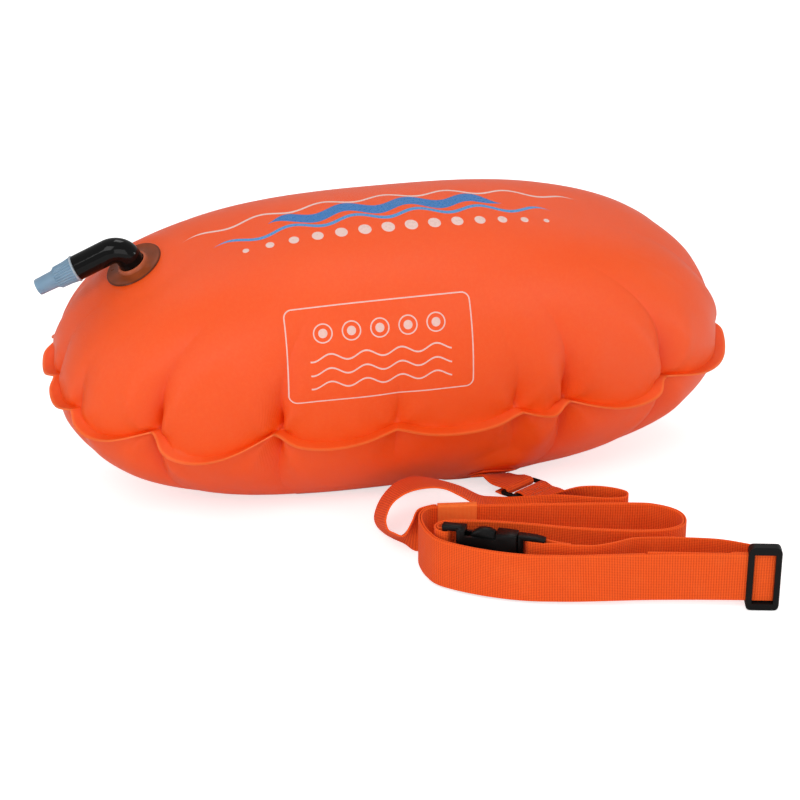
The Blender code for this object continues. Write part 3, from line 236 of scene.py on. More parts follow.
# Cloth, weld and thread
CLOTH_PITCH = 0.0011
WELD_RIB_PITCH = 0.0016
WEAVE_RIB_PITCH = 0.0019
WEAVE_ROW_PITCH = 0.00135
SLEEVE_WEAVE_PITCH = 0.0010
SELVEDGE = 0.0018
STRAP_COLUMNS = 12
STRAP_EDGE = 0.0004
THREAD_TWIST = 0.0006
THREAD_RADIUS = 0.00035
SEAM_INSET = 0.0028
SEWN_BOX_LENGTH = 0.0110
STITCH_LENGTH = 0.0026
STITCH_PITCH = 0.0034
STITCH_SQUASH = 0.8
STITCH_LIFT = 0.9
STITCH_ARCH = 1.5
SEAM_STEPS = 14
TAB_SEAM = (0.003, 0.013)
LEASH_SEAM = (0.002, 0.012)

# The crown's print: where each wave band starts and ends along the buoy, how far its middle is
# round the body from the crown, its half depth, the height of its waves, and its tint
PRINT_RADIUS = 0.118
WAVE_LENGTH = 0.050
WAVE_TAPER = 0.022
wave_bands = [
    (-0.170, 0.155, 0.0190, 0.0011, 0.0032, PRINT_PALE),
    (-0.105, 0.085, 0.0060, 0.0056, 0.0042, PRINT_BLUE),
    (-0.150, 0.125, -0.0055, 0.0018, 0.0038, PRINT_SKY),
]
DISC_PITCH = 0.0185
DISC_RADIUS = 0.0052
DISC_ROW = (-0.135, 0.120, -0.0200)
DISC_SHRINK = 0.6

# The front's print: a thin frame round a row of rings and three wave lines
FRAME_MIDDLE = (-0.036, -0.1170)
FRAME_HALF_SIZE = (0.072, 0.0370)
FRAME_CORNER = 0.0060
FRAME_LINE = 0.0005
RING_ROW = (-0.091, -0.1000)
RING_PITCH = 0.0220
RING_COUNT = 5
RING_RADIUS = 0.0070
LINE_WAVE_LENGTH = 0.0275
WAVE_LINE = FRAME_LINE * 1.3
line_waves = [(-0.1185, 0.0026), (-0.1295, 0.0026), (-0.1405, 0.0026)]

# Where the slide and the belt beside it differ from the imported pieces
SLIDE_CORNER = 0.0050
SLIDE_EDGE = 0.0007
BELT_TUCK = 0.0042
BEND_TUCK = 0.0062
BEND_CLEARANCE = 0.0007
BEND_TUCK_SHARES = (1.0, 1.0, 0.9, 0.6, 0.3)

# How many steps there are along each route and round each turn
BELT_STEPS = 8
LEASH_STEPS = 10
TAB_STEPS = 10
BAR_WRAP_STEPS = 6
BELT_TURN_STEPS = 8
FINE_TURN_STEPS = 24
SLIDE_TURN_STEPS = 16
TAIL_STEPS = 12
TUBE_ARM_STEPS = 6
TUBE_STEM_STEPS = 4
SLEEVE_COLUMNS = 12
ANCHOR_CORNER_STEPS = 9
SLEEVE_CORNER_STEPS = 6
SLIDE_CORNER_STEPS = 8
FLANGE_SIDES = 96
TUBE_SIDES = 48
BAR_SIDES = 20
SIDES_PER_RIB = 6
STITCH_SIDES = 8
STITCH_RINGS = 6

# How finely the skins are drawn
SKIN_ANGLES = 620
SKIN_RINGS = 60
RING_EASE = 1.25
FOLD_CROWDING = 3.2
FOLD_CROWDING_WIDTH = 0.010
WELD_STEPS = 3
OUTLINE_STEPS = 720
CROWDING_STEPS = 2880

# Folds by the puckers: depth, width at the weld, how much they spread and how far they climb,
# with a bank on either side, and a darker line of painted shade in the fold
FOLD_REACH = 0.05
CREASE_DEPTH = 0.0105
CREASE_WIDTH = 0.0020
CREASE_SPREAD = 0.0062
CREASE_RISE = 0.040
CREASE_LEAST_CLIMB = 0.6
CREASE_MORE_CLIMB = 0.7
CREASE_FADE = 2.2
BANK_PLACE = 3.0
BANK_WIDTH = 1.7
BANK_SHARE = 0.34
SHADE_WIDTH = 0.8

# Gathers along the weld: each wave's scale along the weld, its height, its seed and its share
GATHER_DEPTH = 0.0011
GATHER_LENGTH = 0.0145
GATHER_RISE = 0.014
gather_waves = [(1.0, 0.05, 3.7, 1.0), (2.3, 0.03, 9.1, 0.5)]

# Where the skin is pulled level instead of outwards, and held at the weld
LEAN_RISE = 0.03
LEAN_SHARE = 0.5
WELD_HOLD = 0.004
LIFT_START = 0.9
LIFT_SPAN = 0.1
WELD_PULL = 1.6

# How the lower skin settles on the floor
FLOOR_EASE = 0.0035
FLOOR_SQUASH = 0.55
FLOOR_CLEARANCE = 0.0002

# The photograph's camera, floor and lamps
CAMERA_PLACE = (-0.41371, -1.59836, 0.82849)
CAMERA_RIGHT = (0.9673, -0.2538, 0.0)
CAMERA_UP = (0.1073, 0.4088, 0.9063)
CAMERA_LENS = 100.0
CAMERA_SENSOR = 36.0
CAMERA_CLIP = (0.05, 50.0)
FLOOR_SIZE = 30.0
FLOOR_DROP = 0.0004
FLOOR_GLOW = 0.62
ROOM_GLOW = 0.50
LAMP_AIM = (0.0, -0.1, 0.08)
studio_lamps = [
    ("key softbox", (-1.1, -1.5, 2.0), 1.4, 20.0),
    ("front fill", (0.4, -2.4, 0.7), 1.6, 13.0),
    ("top panel", (0.35, 0.8, 1.9), 0.8, 8.0),
    ("left strip", (-2.0, -1.2, 0.35), 0.5, 6.0),
    ("right strip", (2.1, -0.6, 0.45), 0.5, 6.0),
]


# Shaders, written as sums of signals


class Signal:
    """A value inside a finish, on which arithmetic adds Math nodes."""

    def __init__(self, finish, socket):
        self.finish = finish
        self.socket = socket

    def maths(self, operation, *values):
        return self.finish.add("ShaderNodeMath", {"operation": operation}, dict(enumerate(values)))

    def __add__(self, other):
        return self.maths("ADD", self, other)

    def __sub__(self, other):
        return self.maths("SUBTRACT", self, other)

    def __mul__(self, other):
        return self.maths("MULTIPLY", self, other)

    def __truediv__(self, other):
        return self.maths("DIVIDE", self, other)

    def __radd__(self, other):
        return self.maths("ADD", other, self)

    def __rsub__(self, other):
        return self.maths("SUBTRACT", other, self)

    def __rmul__(self, other):
        return self.maths("MULTIPLY", other, self)

    def __pow__(self, other):
        return self.maths("POWER", self, other)

    def sin(self):
        return self.maths("SINE", self)

    def size(self):
        return self.maths("ABSOLUTE", self)

    def floor(self):
        return self.maths("FLOOR", self)

    def least(self, other):
        return self.maths("MINIMUM", self, other)

    def most(self, other):
        return self.maths("MAXIMUM", self, other)

    def over(self, edge):
        return self.maths("GREATER_THAN", self, edge)

    def under(self, edge):
        return self.maths("LESS_THAN", self, edge)

    def ramp(self, low, high):
        """0 at low and 1 at high, eased between them."""
        return self.finish.add(
            "ShaderNodeMapRange",
            {"interpolation_type": "SMOOTHSTEP"},
            {"Value": self, "From Min": low, "From Max": high},
        )


class Finish:
    """One material of the buoy, whose nodes all come from add()."""

    def __init__(self, name, colour, roughness, **fixed):
        self.material = bpy.data.materials.new(name)
        self.material.use_nodes = True
        self.tree = self.material.node_tree
        self.shader = self.tree.nodes["Principled BSDF"]
        self.feed("Base Color", (*colour, 1.0))
        self.feed("Roughness", roughness)
        for socket, value in fixed.items():
            self.feed(socket.replace("_", " "), value)

    def add(self, kind, settings=None, inputs=None, output=0):
        node = self.tree.nodes.new(kind)
        for key, value in (settings or {}).items():
            setattr(node, key, value)
        for key, value in (inputs or {}).items():
            self.join(node.inputs[key], value)
        return Signal(self, node.outputs[output])

    def join(self, socket, value):
        if isinstance(value, Signal):
            self.tree.links.new(value.socket, socket)
        elif isinstance(value, tuple) and len(value) == 3 and socket.type == "RGBA":
            socket.default_value = (*value, 1.0)
        else:
            socket.default_value = value

    def feed(self, socket, value):
        self.join(self.shader.inputs[socket], value)

    def place(self):
        """Object coordinates, as a vector."""
        return self.add("ShaderNodeTexCoord", output="Object")

    def parts(self, vector, count=3):
        """The first parts of a vector, each as a signal."""
        return [self.add("ShaderNodeSeparateXYZ", None, {0: vector}, k) for k in range(count)]

    def chart(self, name):
        """The two parts of a piece's own flat coordinates in metres, from its UV map."""
        return self.parts(self.add("ShaderNodeUVMap", {"uv_map": name}), 2)

    def attribute(self, name):
        """A share that is stored at the piece's points."""
        return self.add("ShaderNodeAttribute", {"attribute_name": name}, output="Fac")

    def measure(self, operation, place, point):
        """A measure of a place by a fixed vector, such as the distance to it."""
        inputs = {0: place, 1: tuple(point)}
        return self.add("ShaderNodeVectorMath", {"operation": operation}, inputs, "Value")

    def noise(self, vector, scale, detail=3.0):
        inputs = {"Vector": vector, "Scale": scale, "Detail": detail}
        return self.add("ShaderNodeTexNoise", None, inputs)

    def blend(self, share, first, second):
        """A colour that goes from first to second."""
        node = self.tree.nodes.new("ShaderNodeMix")
        node.data_type = "RGBA"
        self.join(node.inputs[0], share)
        self.join(node.inputs[6], first)
        self.join(node.inputs[7], second)
        return Signal(self, node.outputs[2])

    def bump(self, height, distance):
        inputs = {"Height": height, "Distance": distance, "Strength": 1.0}
        self.feed("Normal", self.add("ShaderNodeBump", None, inputs, "Normal"))


def coated_fabric(name, printed):
    """Coated bladder fabric: a fine weave under a satin skin, a painted highlight along the weld's edge, and
    painted shade in the folds.
    """
    skin = Finish(name, ORANGE_SKIN, 0.40, Specular_IOR_Level=0.40)
    across, along = skin.chart("Flat cloth")
    place = skin.place()
    mottle = skin.noise(place, SKIN_MOTTLE, 4.0)
    fine = skin.noise(place, SKIN_GRAIN, 2.0)
    colour = skin.blend(mottle.ramp(0.2, 0.8), ORANGE_SKIN_DEEP, ORANGE_SKIN)
    colour = skin.blend(fine.ramp(0.35, 0.75) * 0.10, colour, ORANGE_SKIN_PALE)
    weld = skin.attribute("weld")
    # A painted highlight: the skin turns pale along the weld's outer edge
    colour = skin.blend(weld.ramp(0.70, 0.95) * WELD_EDGE_HIGHLIGHT, colour, ORANGE_SKIN_PALE)
    # Painted shade: the skin darkens deep in the folds by the puckers
    colour = skin.blend(skin.attribute("fold_shade") * FOLD_SHADE, colour, ORANGE_SKIN_FOLD_SHADE)
    roughness = 0.28 + mottle * 0.05 + fine * 0.06
    if printed:
        x, y, z = skin.parts(place)
        round_body = body_girth(y, z)
        colour, ink = crown_print(skin, x, round_body, colour)
        colour, more = front_print(skin, x, round_body, colour)
        roughness = roughness - (ink + more) * 0.06
    skin.feed("Base Color", colour)
    skin.feed("Roughness", roughness)
    warp = (across * (math.tau / CLOTH_PITCH)).sin() * (along * (math.tau / CLOTH_PITCH)).sin()
    ribs = ((across + along) * (math.tau / WELD_RIB_PITCH)).sin() * weld
    skin.bump(warp * 0.8 + ribs * 0.4 + fine * 0.4, SKIN_RELIEF)
    return skin.material


def body_girth(y, z):
    """How far round the bladder a place is from its crown, in metres."""
    back, up = y - BLADDER_SETBACK, z - AXIS_HEIGHT
    c, s = math.cos(BLADDER_ROLL), math.sin(BLADDER_ROLL)
    return (back * c + up * s).maths("ARCTAN2", back * c + up * s, up * c - back * s) * PRINT_RADIUS


def crown_print(skin, across, along, colour):
    """A plain print along the crown: wave bands, and a row of discs in front of them."""
    ink = None
    for start, end, middle, depth, height, tint in wave_bands:
        line = along - middle - ((across - start) * (math.tau / WAVE_LENGTH)).sin() * height
        span = across.ramp(start, start + WAVE_TAPER) * (1 - across.ramp(end - WAVE_TAPER, end))
        mask = (line.size() - span * depth).under(0.0) * span.over(0.02)
        colour = skin.blend(mask, colour, tint)
        ink = mask if ink is None else ink + mask
    start, end, middle = DISC_ROW
    reach = ring_distance(across, along, start, middle, DISC_PITCH)
    size = (1 - ((across - (start + end) / 2) * (2 / (end - start))) ** 2.0) * DISC_SHRINK + (1 - DISC_SHRINK)
    discs = (reach - size * DISC_RADIUS).under(0.0) * across.over(start) * across.under(end)
    return skin.blend(discs, colour, PRINT_PALE), ink + discs


def ring_distance(across, along, start, middle, pitch):
    """The distance to the nearest centre in a row of evenly spaced centres."""
    cell = (across - start) / pitch
    aside = (cell - cell.floor() - 0.5) * pitch
    return (aside * aside + (along - middle) * (along - middle)) ** 0.5


def front_print(skin, across, along, colour):
    """A plain print on the front: a thin frame round a row of rings and three wave lines."""
    aside = (across - FRAME_MIDDLE[0]).size() - (FRAME_HALF_SIZE[0] - FRAME_CORNER)
    above = (along - FRAME_MIDDLE[1]).size() - (FRAME_HALF_SIZE[1] - FRAME_CORNER)
    corner = (aside.most(0.0) ** 2.0 + above.most(0.0) ** 2.0) ** 0.5
    frame_line = (corner + aside.most(above).least(0.0) - FRAME_CORNER).size().under(FRAME_LINE)
    start, middle = RING_ROW
    reach = ring_distance(across, along, start, middle, RING_PITCH)
    inside = across.over(start) * across.under(start + RING_COUNT * RING_PITCH)
    rings = (reach - RING_RADIUS).size().under(FRAME_LINE) * inside
    ink = frame_line + rings + reach.under(RING_RADIUS / 2) * inside
    for level, height in line_waves:
        line = along - level - (across * (math.tau / LINE_WAVE_LENGTH)).sin() * height
        ink = ink + line.size().under(WAVE_LINE) * inside
    ink = ink.least(1.0)
    return skin.blend(ink * FRONT_PRINT_STRENGTH, colour, PRINT_PALE), ink


def woven_webbing(
    name, rib=WEAVE_RIB_PITCH, row=WEAVE_ROW_PITCH, pale=ORANGE_THREAD, deep=ORANGE_THREAD_DEEP
):
    """Narrow woven webbing: crosswise ribs, divided into rows along its length."""
    cloth = Finish(name, pale, 0.72, Specular_IOR_Level=0.2, Sheen_Weight=0.05, Sheen_Roughness=0.45)
    along, across = cloth.chart("Strap")
    place = cloth.place()
    ribs = (along * (math.tau / rib)).sin() * 0.5 + 0.5
    rows = (across * (math.tau / row)).sin() * 0.5 + 0.5
    weave = ribs * 0.35 + rows * 0.25 + ribs * rows * 0.4
    selvedge = across.size().ramp(WEBBING_WIDTH / 2 - SELVEDGE, WEBBING_WIDTH / 2 - SELVEDGE / 3)
    worn = cloth.noise(place, WEBBING_WEAR, 4.0)
    fuzz = cloth.noise(place, WEBBING_FUZZ, 2.0)
    colour = cloth.blend(weave.ramp(0.02, 0.55) * 0.9 + fuzz * 0.1, deep, pale)
    colour = cloth.blend(worn.ramp(0.45, 0.8) * 0.12, colour, ORANGE_SKIN_PALE)
    colour = cloth.blend(selvedge * 0.3, colour, pale)
    cloth.feed("Base Color", colour)
    cloth.feed("Roughness", 0.66 + fuzz * 0.2)
    cloth.bump(weave * (1 - selvedge) + selvedge * 0.9 + fuzz * 0.3, WEAVE_RELIEF)
    return cloth.material


def moulded_black(name):
    """Moulded acetal: a faint spark grain, and a sheen that changes a little."""
    plastic = Finish(name, BLACK_MOULDED, 0.36, Specular_IOR_Level=0.14)
    place = plastic.place()
    grain = plastic.noise(place, MOULD_GRAIN, 2.0)
    handled = plastic.noise(place, MOULD_WEAR, 4.0)
    worn = handled.ramp(0.4, 0.8) * 0.5
    plastic.feed("Base Color", plastic.blend(worn, BLACK_MOULDED, BLACK_HANDLED))
    plastic.feed("Roughness", 0.30 + handled * 0.16 + grain * 0.06)
    plastic.bump(grain + handled * 0.6, MOULD_RELIEF)
    return plastic.material


def glossy_vinyl():
    """The bent tube's soft black vinyl, with faint flow marks."""
    vinyl = Finish("tube black vinyl", BLACK_VINYL, 0.14, Specular_IOR_Level=0.18)
    place = vinyl.place()
    flow = vinyl.noise(place, VINYL_FLOW)
    dust = vinyl.noise(place, VINYL_DUST, 2.0)
    vinyl.feed("Base Color", vinyl.blend(dust.ramp(0.6, 0.8) * 0.3, BLACK_VINYL, BLACK_HANDLED))
    vinyl.feed("Roughness", 0.05 + flow * 0.07)
    vinyl.bump(flow * 2.0 + dust * 0.2, VINYL_RELIEF)
    return vinyl.material


def tinted_film():
    """The valve's flange: smoky film through which the orange skin shows, with a painted pink reflection on
    its collar.
    """
    film = Finish("valve smoky film", BROWN_FILM, 0.28, Specular_IOR_Level=0.22)
    place = film.place()
    cloud = film.noise(place, FILM_CLOUD, 4.0)
    colour = film.blend(cloud.ramp(0.3, 0.75), BROWN_FILM, BROWN_FILM_WARM)
    reach = film.measure("DISTANCE", place, valve_frames()[0])
    colour = film.blend(reach.ramp(FILM_RIM_START, VALVE_FLANGE_RADIUS), colour, BROWN_FILM_DEEP)
    # A painted reflection: the film turns pink inside the collar's edge
    film.feed("Base Color", film.blend(1 - reach.ramp(*COLLAR_REFLECTION_EDGE), colour, BROWN_FILM_COLLAR_REFLECTION))
    film.feed("Roughness", 0.22 + cloud * 0.18)
    film.bump(cloud, FILM_RELIEF)
    return film.material


def clouded_blue():
    """The mouthpiece's frosted, pale blue-grey plastic."""
    blue = Finish(
        "mouthpiece frosted plastic", PALE_BLUE, 0.3,
        Transmission_Weight=0.35, IOR=1.47,
        Subsurface_Weight=0.15, Subsurface_Radius=(0.004, 0.005, 0.006),
    )
    place = blue.place()
    cloud = blue.noise(place, BLUE_CLOUD)
    end, arm = tube_end()
    rim = (blue.measure("DOT_PRODUCT", place, arm) - end.dot(arm)).under(MOUTHPIECE_RIM_LENGTH)
    colour = blue.blend(cloud, PALE_BLUE, PALE_BLUE_LIGHT)
    blue.feed("Base Color", blue.blend(rim * 0.8, colour, PALE_BLUE_RIM))
    blue.feed("Roughness", 0.24 + cloud * 0.14)
    blue.bump(cloud, BLUE_RELIEF)
    return blue.material


def sewing_thread(name, colour):
    thread = Finish(name, colour, 0.6, Sheen_Weight=0.3)
    x, y, z = thread.parts(thread.place())
    twist = ((x + y + z) * (math.tau / THREAD_TWIST)).sin() * 0.5 + 0.5
    shaded = tuple(part * THREAD_SHADE for part in colour)
    thread.feed("Base Color", thread.blend(twist, shaded, colour))
    thread.feed("Roughness", 0.5 + twist * 0.2)
    thread.bump(twist, FINE_RELIEF)
    return thread.material


def clouded(name, first, second, scale, roughness, spread):
    """A plain moulding whose colour and sheen change a little from place to place."""
    moulding = Finish(name, first, roughness)
    cloud = moulding.noise(moulding.place(), scale)
    moulding.feed("Base Color", moulding.blend(cloud, first, second))
    moulding.feed("Roughness", roughness + cloud * spread)
    moulding.bump(cloud, FINE_RELIEF)
    return moulding.material


# Shaping


def pick(piece):
    """Select one piece alone, and make it the active one."""
    bpy.ops.object.select_all(action="DESELECT")
    piece.select_set(True)
    bpy.context.view_layer.objects.active = piece


def edit(piece, *steps):
    """Run edit-mode steps on one piece, with everything in it selected."""
    pick(piece)
    bpy.ops.object.mode_set(mode="EDIT")
    bpy.ops.mesh.select_all(action="SELECT")
    for step, settings in steps:
        step(**settings)
    bpy.ops.object.mode_set(mode="OBJECT")


def finish_shape(piece, *modifiers, smooth_degrees=40):
    """Add and apply modifiers, then shade the piece smooth up to an angle."""
    pick(piece)
    for kind, settings in modifiers:
        modifier = piece.modifiers.new(kind.title(), kind)
        for key, value in settings.items():
            setattr(modifier, key, value)
        bpy.ops.object.modifier_apply(modifier=modifier.name)
    bpy.ops.object.shade_smooth_by_angle(angle=math.radians(smooth_degrees))


def rounded(width, segments, degrees):
    """A bevel on edges sharper than an angle."""
    limit = {"limit_method": "ANGLE", "angle_limit": math.radians(degrees)}
    return "BEVEL", {"width": width, "segments": segments, **limit}


def shaped_grid(name, rows, material, chart=None, chart_name="Strap", shares=None):
    """A grid whose points are set row by row, and whose meeting edges are merged.

    chart holds a flat place for each point, and shares holds named tables of shares, one per point.
    """
    bpy.ops.object.select_all(action="DESELECT")
    down, over = len(rows) - 1, len(rows[0]) - 1
    bpy.ops.mesh.primitive_grid_add(
        x_subdivisions=down, y_subdivisions=over, size=1.0, location=(0, 0, 0)
    )
    piece = bpy.context.object
    piece.name = piece.data.name = name
    mesh = piece.data
    at = [(round((v.co.x + 0.5) * down), round((v.co.y + 0.5) * over)) for v in mesh.vertices]
    for vert, (i, j) in zip(mesh.vertices, at):
        vert.co = rows[i][j]
    while mesh.uv_layers:
        mesh.uv_layers.remove(mesh.uv_layers[0])
    if chart:
        layer = mesh.uv_layers.new(name=chart_name)
        for loop in mesh.loops:
            i, j = at[loop.vertex_index]
            layer.data[loop.index].uv = chart[i][j]
    for kind, table in (shares or {}).items():
        layer = mesh.attributes.new(kind, "FLOAT", "POINT")
        for k, (i, j) in enumerate(at):
            layer.data[k].value = table[i][j]
    mesh.materials.append(material)
    edit(piece, (bpy.ops.mesh.remove_doubles, {"threshold": MERGE_DISTANCE}))
    return piece


def outwards(piece):
    edit(piece, (bpy.ops.mesh.normals_make_consistent, {"inside": False}))


def strap(name, route, axes, material, square=True, start=0.0):
    """Webbing along a route, its width along the axis at each point, its edges rounded."""
    rows, chart, done = [], [], start
    for i, (point, along, axis) in enumerate(zip(route, tangents(route), axes)):
        if square:
            axis = axis - along * axis.dot(along)
        axis = axis.normalized()
        done += (point - route[i - 1]).length if i else 0.0
        offsets = [WEBBING_WIDTH * (k / STRAP_COLUMNS - 0.5) for k in range(STRAP_COLUMNS + 1)]
        rows.append([point + axis * offset for offset in offsets])
        chart.append([(done, offset) for offset in offsets])
    piece = shaped_grid(name, rows, material, chart)
    thick = {"thickness": WEBBING_THICKNESS, "offset": 0.0, "use_even_offset": False}
    finish_shape(piece, ("SOLIDIFY", thick), rounded(STRAP_EDGE, 2, 50), smooth_degrees=50)
    return piece


def tube(name, rings, material, smooth_degrees=40):
    """Rings of points joined round and along, with the last ring joined to the first."""
    rows = [ring + ring[:1] for ring in rings]
    piece = shaped_grid(name, rows + rows[:1], material)
    outwards(piece)
    finish_shape(piece, smooth_degrees=smooth_degrees)
    return piece


def turned_rings(profile, sides, matrix, flute=None):
    rings = []
    for along, radius in profile:
        ring = []
        for k in range(sides):
            angle = math.tau * k / sides
            reach = radius - (flute(along, angle) if flute else 0.0)
            ring.append(matrix @ Vector((along, reach * math.cos(angle), reach * math.sin(angle))))
        rings.append(ring)
    return rings


def finer_copy(node, name, material, smooth_degrees=35):
    """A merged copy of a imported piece, shaded smooth, that stands for it."""
    bpy.ops.object.select_all(action="DESELECT")
    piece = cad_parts[node].copy()
    piece.data = piece.data.copy()
    piece.parent = None
    for key in list(piece.keys()):
        del piece[key]
    bpy.context.scene.collection.objects.link(piece)
    piece.name = piece.data.name = name
    piece.data.materials.clear()
    piece.data.materials.append(material)
    edit(piece, (bpy.ops.mesh.remove_doubles, {"threshold": MERGE_DISTANCE}))
    finish_shape(piece, smooth_degrees=smooth_degrees)
    return piece


def settle(piece, body, slot, *nodes):
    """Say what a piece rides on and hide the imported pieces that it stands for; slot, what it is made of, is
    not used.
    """
    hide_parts(*nodes)
    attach(piece, body)
    return piece


# The buoy's own lines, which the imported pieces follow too


def catmull(points, steps):
    """A smooth route through points, with so many steps in each span."""
    points = [Vector(p) for p in points]
    route = []
    for i in range(len(points) - 1):
        before = points[max(i - 1, 0)]
        start, end = points[i], points[i + 1]
        after = points[min(i + 2, len(points) - 1)]
        for k in range(steps):
            t = k / steps
            route.append(
                0.5
                * (
                    2 * start
                    + (end - before) * t
                    + (2 * before - 5 * start + 4 * end - after) * t**2
                    + (3 * start - before - 3 * end + after) * t**3
                )
            )
    route.append(points[-1])
    return route


def tangents(route):
    ahead = route[1:] + route[-1:]
    behind = route[:1] + route[:-1]
    return [(a - b).normalized() for a, b in zip(ahead, behind)]


def frame_matrix(origin, x_axis, z_hint):
    x_axis = x_axis.normalized()
    z_axis = (z_hint - x_axis * z_hint.dot(x_axis)).normalized()
    y_axis = z_axis.cross(x_axis)
    matrix = Matrix((x_axis, y_axis, z_axis)).transposed().to_4x4()
    matrix.translation = origin
    return matrix


def smoothstep(share):
    share = min(1.0, max(0.0, share))
    return share * share * (3 - 2 * share)


AXIS_HEIGHT = LOWER_HEIGHT - FLOOR_CUT
ROLL = Matrix.Translation((0, BLADDER_SETBACK, AXIS_HEIGHT)) @ Matrix.Rotation(BLADDER_ROLL, 4, "X")
PUCKERS = [(math.radians(degrees), depth, sag) for degrees, depth, sag in pucker_shares]


def angle_between(a, b):
    return math.remainder(a - b, math.tau)


def pucker(angle):
    """How far the weld is drawn in at this plan angle, as a share of the deepest pucker."""
    return max(
        share * math.exp(-((angle_between(angle, centre) / PUCKER_WIDTH) ** 2))
        for centre, share, sag in PUCKERS
    )


def sag(angle):
    """How far the weld hangs at this plan angle: nothing at a pucker, most half way to the next."""
    angle = (angle - PUCKERS[0][0]) % math.tau + PUCKERS[0][0]
    wrapped = PUCKERS + [(PUCKERS[0][0] + math.tau, 0.0, 0.0)]
    for (first, depth, share), (second, *rest) in zip(PUCKERS, wrapped[1:]):
        if first <= angle <= second:
            return share * math.sin(math.pi * (angle - first) / (second - first))
    return 0.0


def plan_point(angle):
    c, s = math.cos(angle), math.sin(angle)
    reach = (abs(c) ** PLAN_SQUARENESS + abs(s) ** PLAN_SQUARENESS) ** (-1 / PLAN_SQUARENESS)
    return Vector((BLADDER_HALF_LENGTH * c * reach, BLADDER_HALF_WIDTH * s * reach, 0))


def panel_section(ring, side):
    """How far out of the middle and how high a panel is: ring is 0 at the crown and 1 at the weld."""
    height = UPPER_HEIGHT if side > 0 else LOWER_HEIGHT
    squareness = UPPER_SQUARENESS if side > 0 else LOWER_SQUARENESS
    spread = math.sin(min(ring, 1.0) * math.pi / 2)
    return spread, height * (1 - spread**squareness) ** (1 / squareness)


def free_panel_point(angle, ring, side):
    """A point of a panel before it is pressed flat anywhere."""
    spread, rise = panel_section(ring, side)
    outline = plan_point(angle)
    outward = outline.normalized()
    near_weld = max(0.0, 1 - rise / PUCKER_RISE) ** WELD_PULL
    inset = PUCKER_DEPTH * pucker(angle) - SAG_BULGE * sag(angle) / 2
    point = outline * spread - outward * (inset * near_weld)
    if side > 0:
        rise *= 1 + CROWN_SHARE * (1 - 2 * (point.x / BLADDER_HALF_LENGTH) ** 2)
    return point + Vector((0, 0, side * rise - SAG_DEPTH * sag(angle) * near_weld))


def weld_point(angle, share):
    """A point of the weld flange: share is 0 at the panel and 1 at the free edge."""
    outline = plan_point(angle)
    outward = outline.normalized()
    inset = PUCKER_DEPTH * pucker(angle) - SAG_BULGE * sag(angle) / 2
    reach = WELD_FLANGE_WIDTH * (1 + sag(angle) / 8) * share
    point = outline - outward * (inset - reach)
    return point + Vector((0, 0, -SAG_DEPTH * sag(angle) * (1 + share / 8)))


def weld_steepness(angle):
    """How much longer the weld is here than its plan, because it climbs to a pucker."""
    step = math.radians(1.0)
    run = weld_point(angle + step, 0.0) - weld_point(angle - step, 0.0)
    return run.length / run.xy.length


def surface_frame(angle, ring, side):
    step = math.radians(0.5)
    centre = free_panel_point(angle, ring, side)
    along = free_panel_point(angle + step, ring, side) - free_panel_point(angle - step, ring, side)
    down = free_panel_point(angle, ring + step, side) - free_panel_point(angle, ring - step, side)
    normal = along.cross(down).normalized()
    if normal.z * side < 0:
        normal.negate()
    return centre, normal


def pressed(point, centre, normal, flat_radius, blend):
    """Press a panel's point onto the plane of a stiff piece that is welded there."""
    offset = point - centre
    height = offset.dot(normal)
    distance = (offset - normal * height).length
    if distance > flat_radius + blend or abs(height) > flat_radius:
        return point
    keep = smoothstep((distance - flat_radius) / blend)
    return point - normal * (height * (1 - keep))


VALVE_CENTRE, VALVE_NORMAL = surface_frame(VALVE_PLAN_ANGLE, VALVE_RING_SHARE, 1)


def patch_place():
    """The lower panel's point under the patch, found round the middle of its length."""
    direction = Vector((0, -math.sin(PATCH_ANGLE), -math.cos(PATCH_ANGLE)))
    local = ROLL.to_3x3().inverted() @ direction
    best = None
    for k in range(PATCH_SEARCH_RINGS):
        ring = k / PATCH_SEARCH_RINGS
        for degrees in PATCH_SEARCH_DEGREES:
            angle = math.radians(degrees)
            point = free_panel_point(angle, ring, -1)
            miss = abs(point.x - PATCH_CENTRE_X) + abs(point.y * local.z - point.z * local.y)
            if best is None or miss < best[0]:
                best = (miss, angle, ring)
    return surface_frame(best[1], best[2], -1)


PATCH_CENTRE, PATCH_NORMAL = patch_place()


def panel_point(angle, ring, side):
    point = free_panel_point(angle, ring, side)
    if side > 0:
        return pressed(point, VALVE_CENTRE, VALVE_NORMAL, VALVE_FLANGE_RADIUS + GAP, VALVE_FLAT_BLEND)
    return pressed(point, PATCH_CENTRE, PATCH_NORMAL, PATCH_FLAT_RADIUS, PATCH_FLAT_BLEND)


def valve_frames():
    centre = ROLL @ VALVE_CENTRE
    normal = ROLL.to_3x3() @ VALVE_NORMAL
    outward = Vector((math.cos(VALVE_ARM_HEADING), math.sin(VALVE_ARM_HEADING), 0))
    arm = (outward - normal * outward.dot(normal)).normalized()
    return centre, normal, arm


def patch_frame():
    """Origin on the pressed panel, X along the tab in the patch's plane, Z outwards."""
    centre = ROLL @ PATCH_CENTRE
    normal = ROLL.to_3x3() @ PATCH_NORMAL
    to_ring = Vector((RING_CENTRE_X, RING_CENTRE_Y, RING_CENTRE_Z)) - centre
    return frame_matrix(centre, to_ring - normal * to_ring.dot(normal), normal)


def ring_frame():
    """Origin in the ring's middle, X away from the tab, Y along its bars, Z up."""
    away = Vector((math.sin(RING_HEADING), -math.cos(RING_HEADING), 0))
    up = Matrix.Rotation(RING_TILT, 3, away) @ Vector((0, 0, 1))
    return frame_matrix(Vector((RING_CENTRE_X, RING_CENTRE_Y, RING_CENTRE_Z)), away, up)


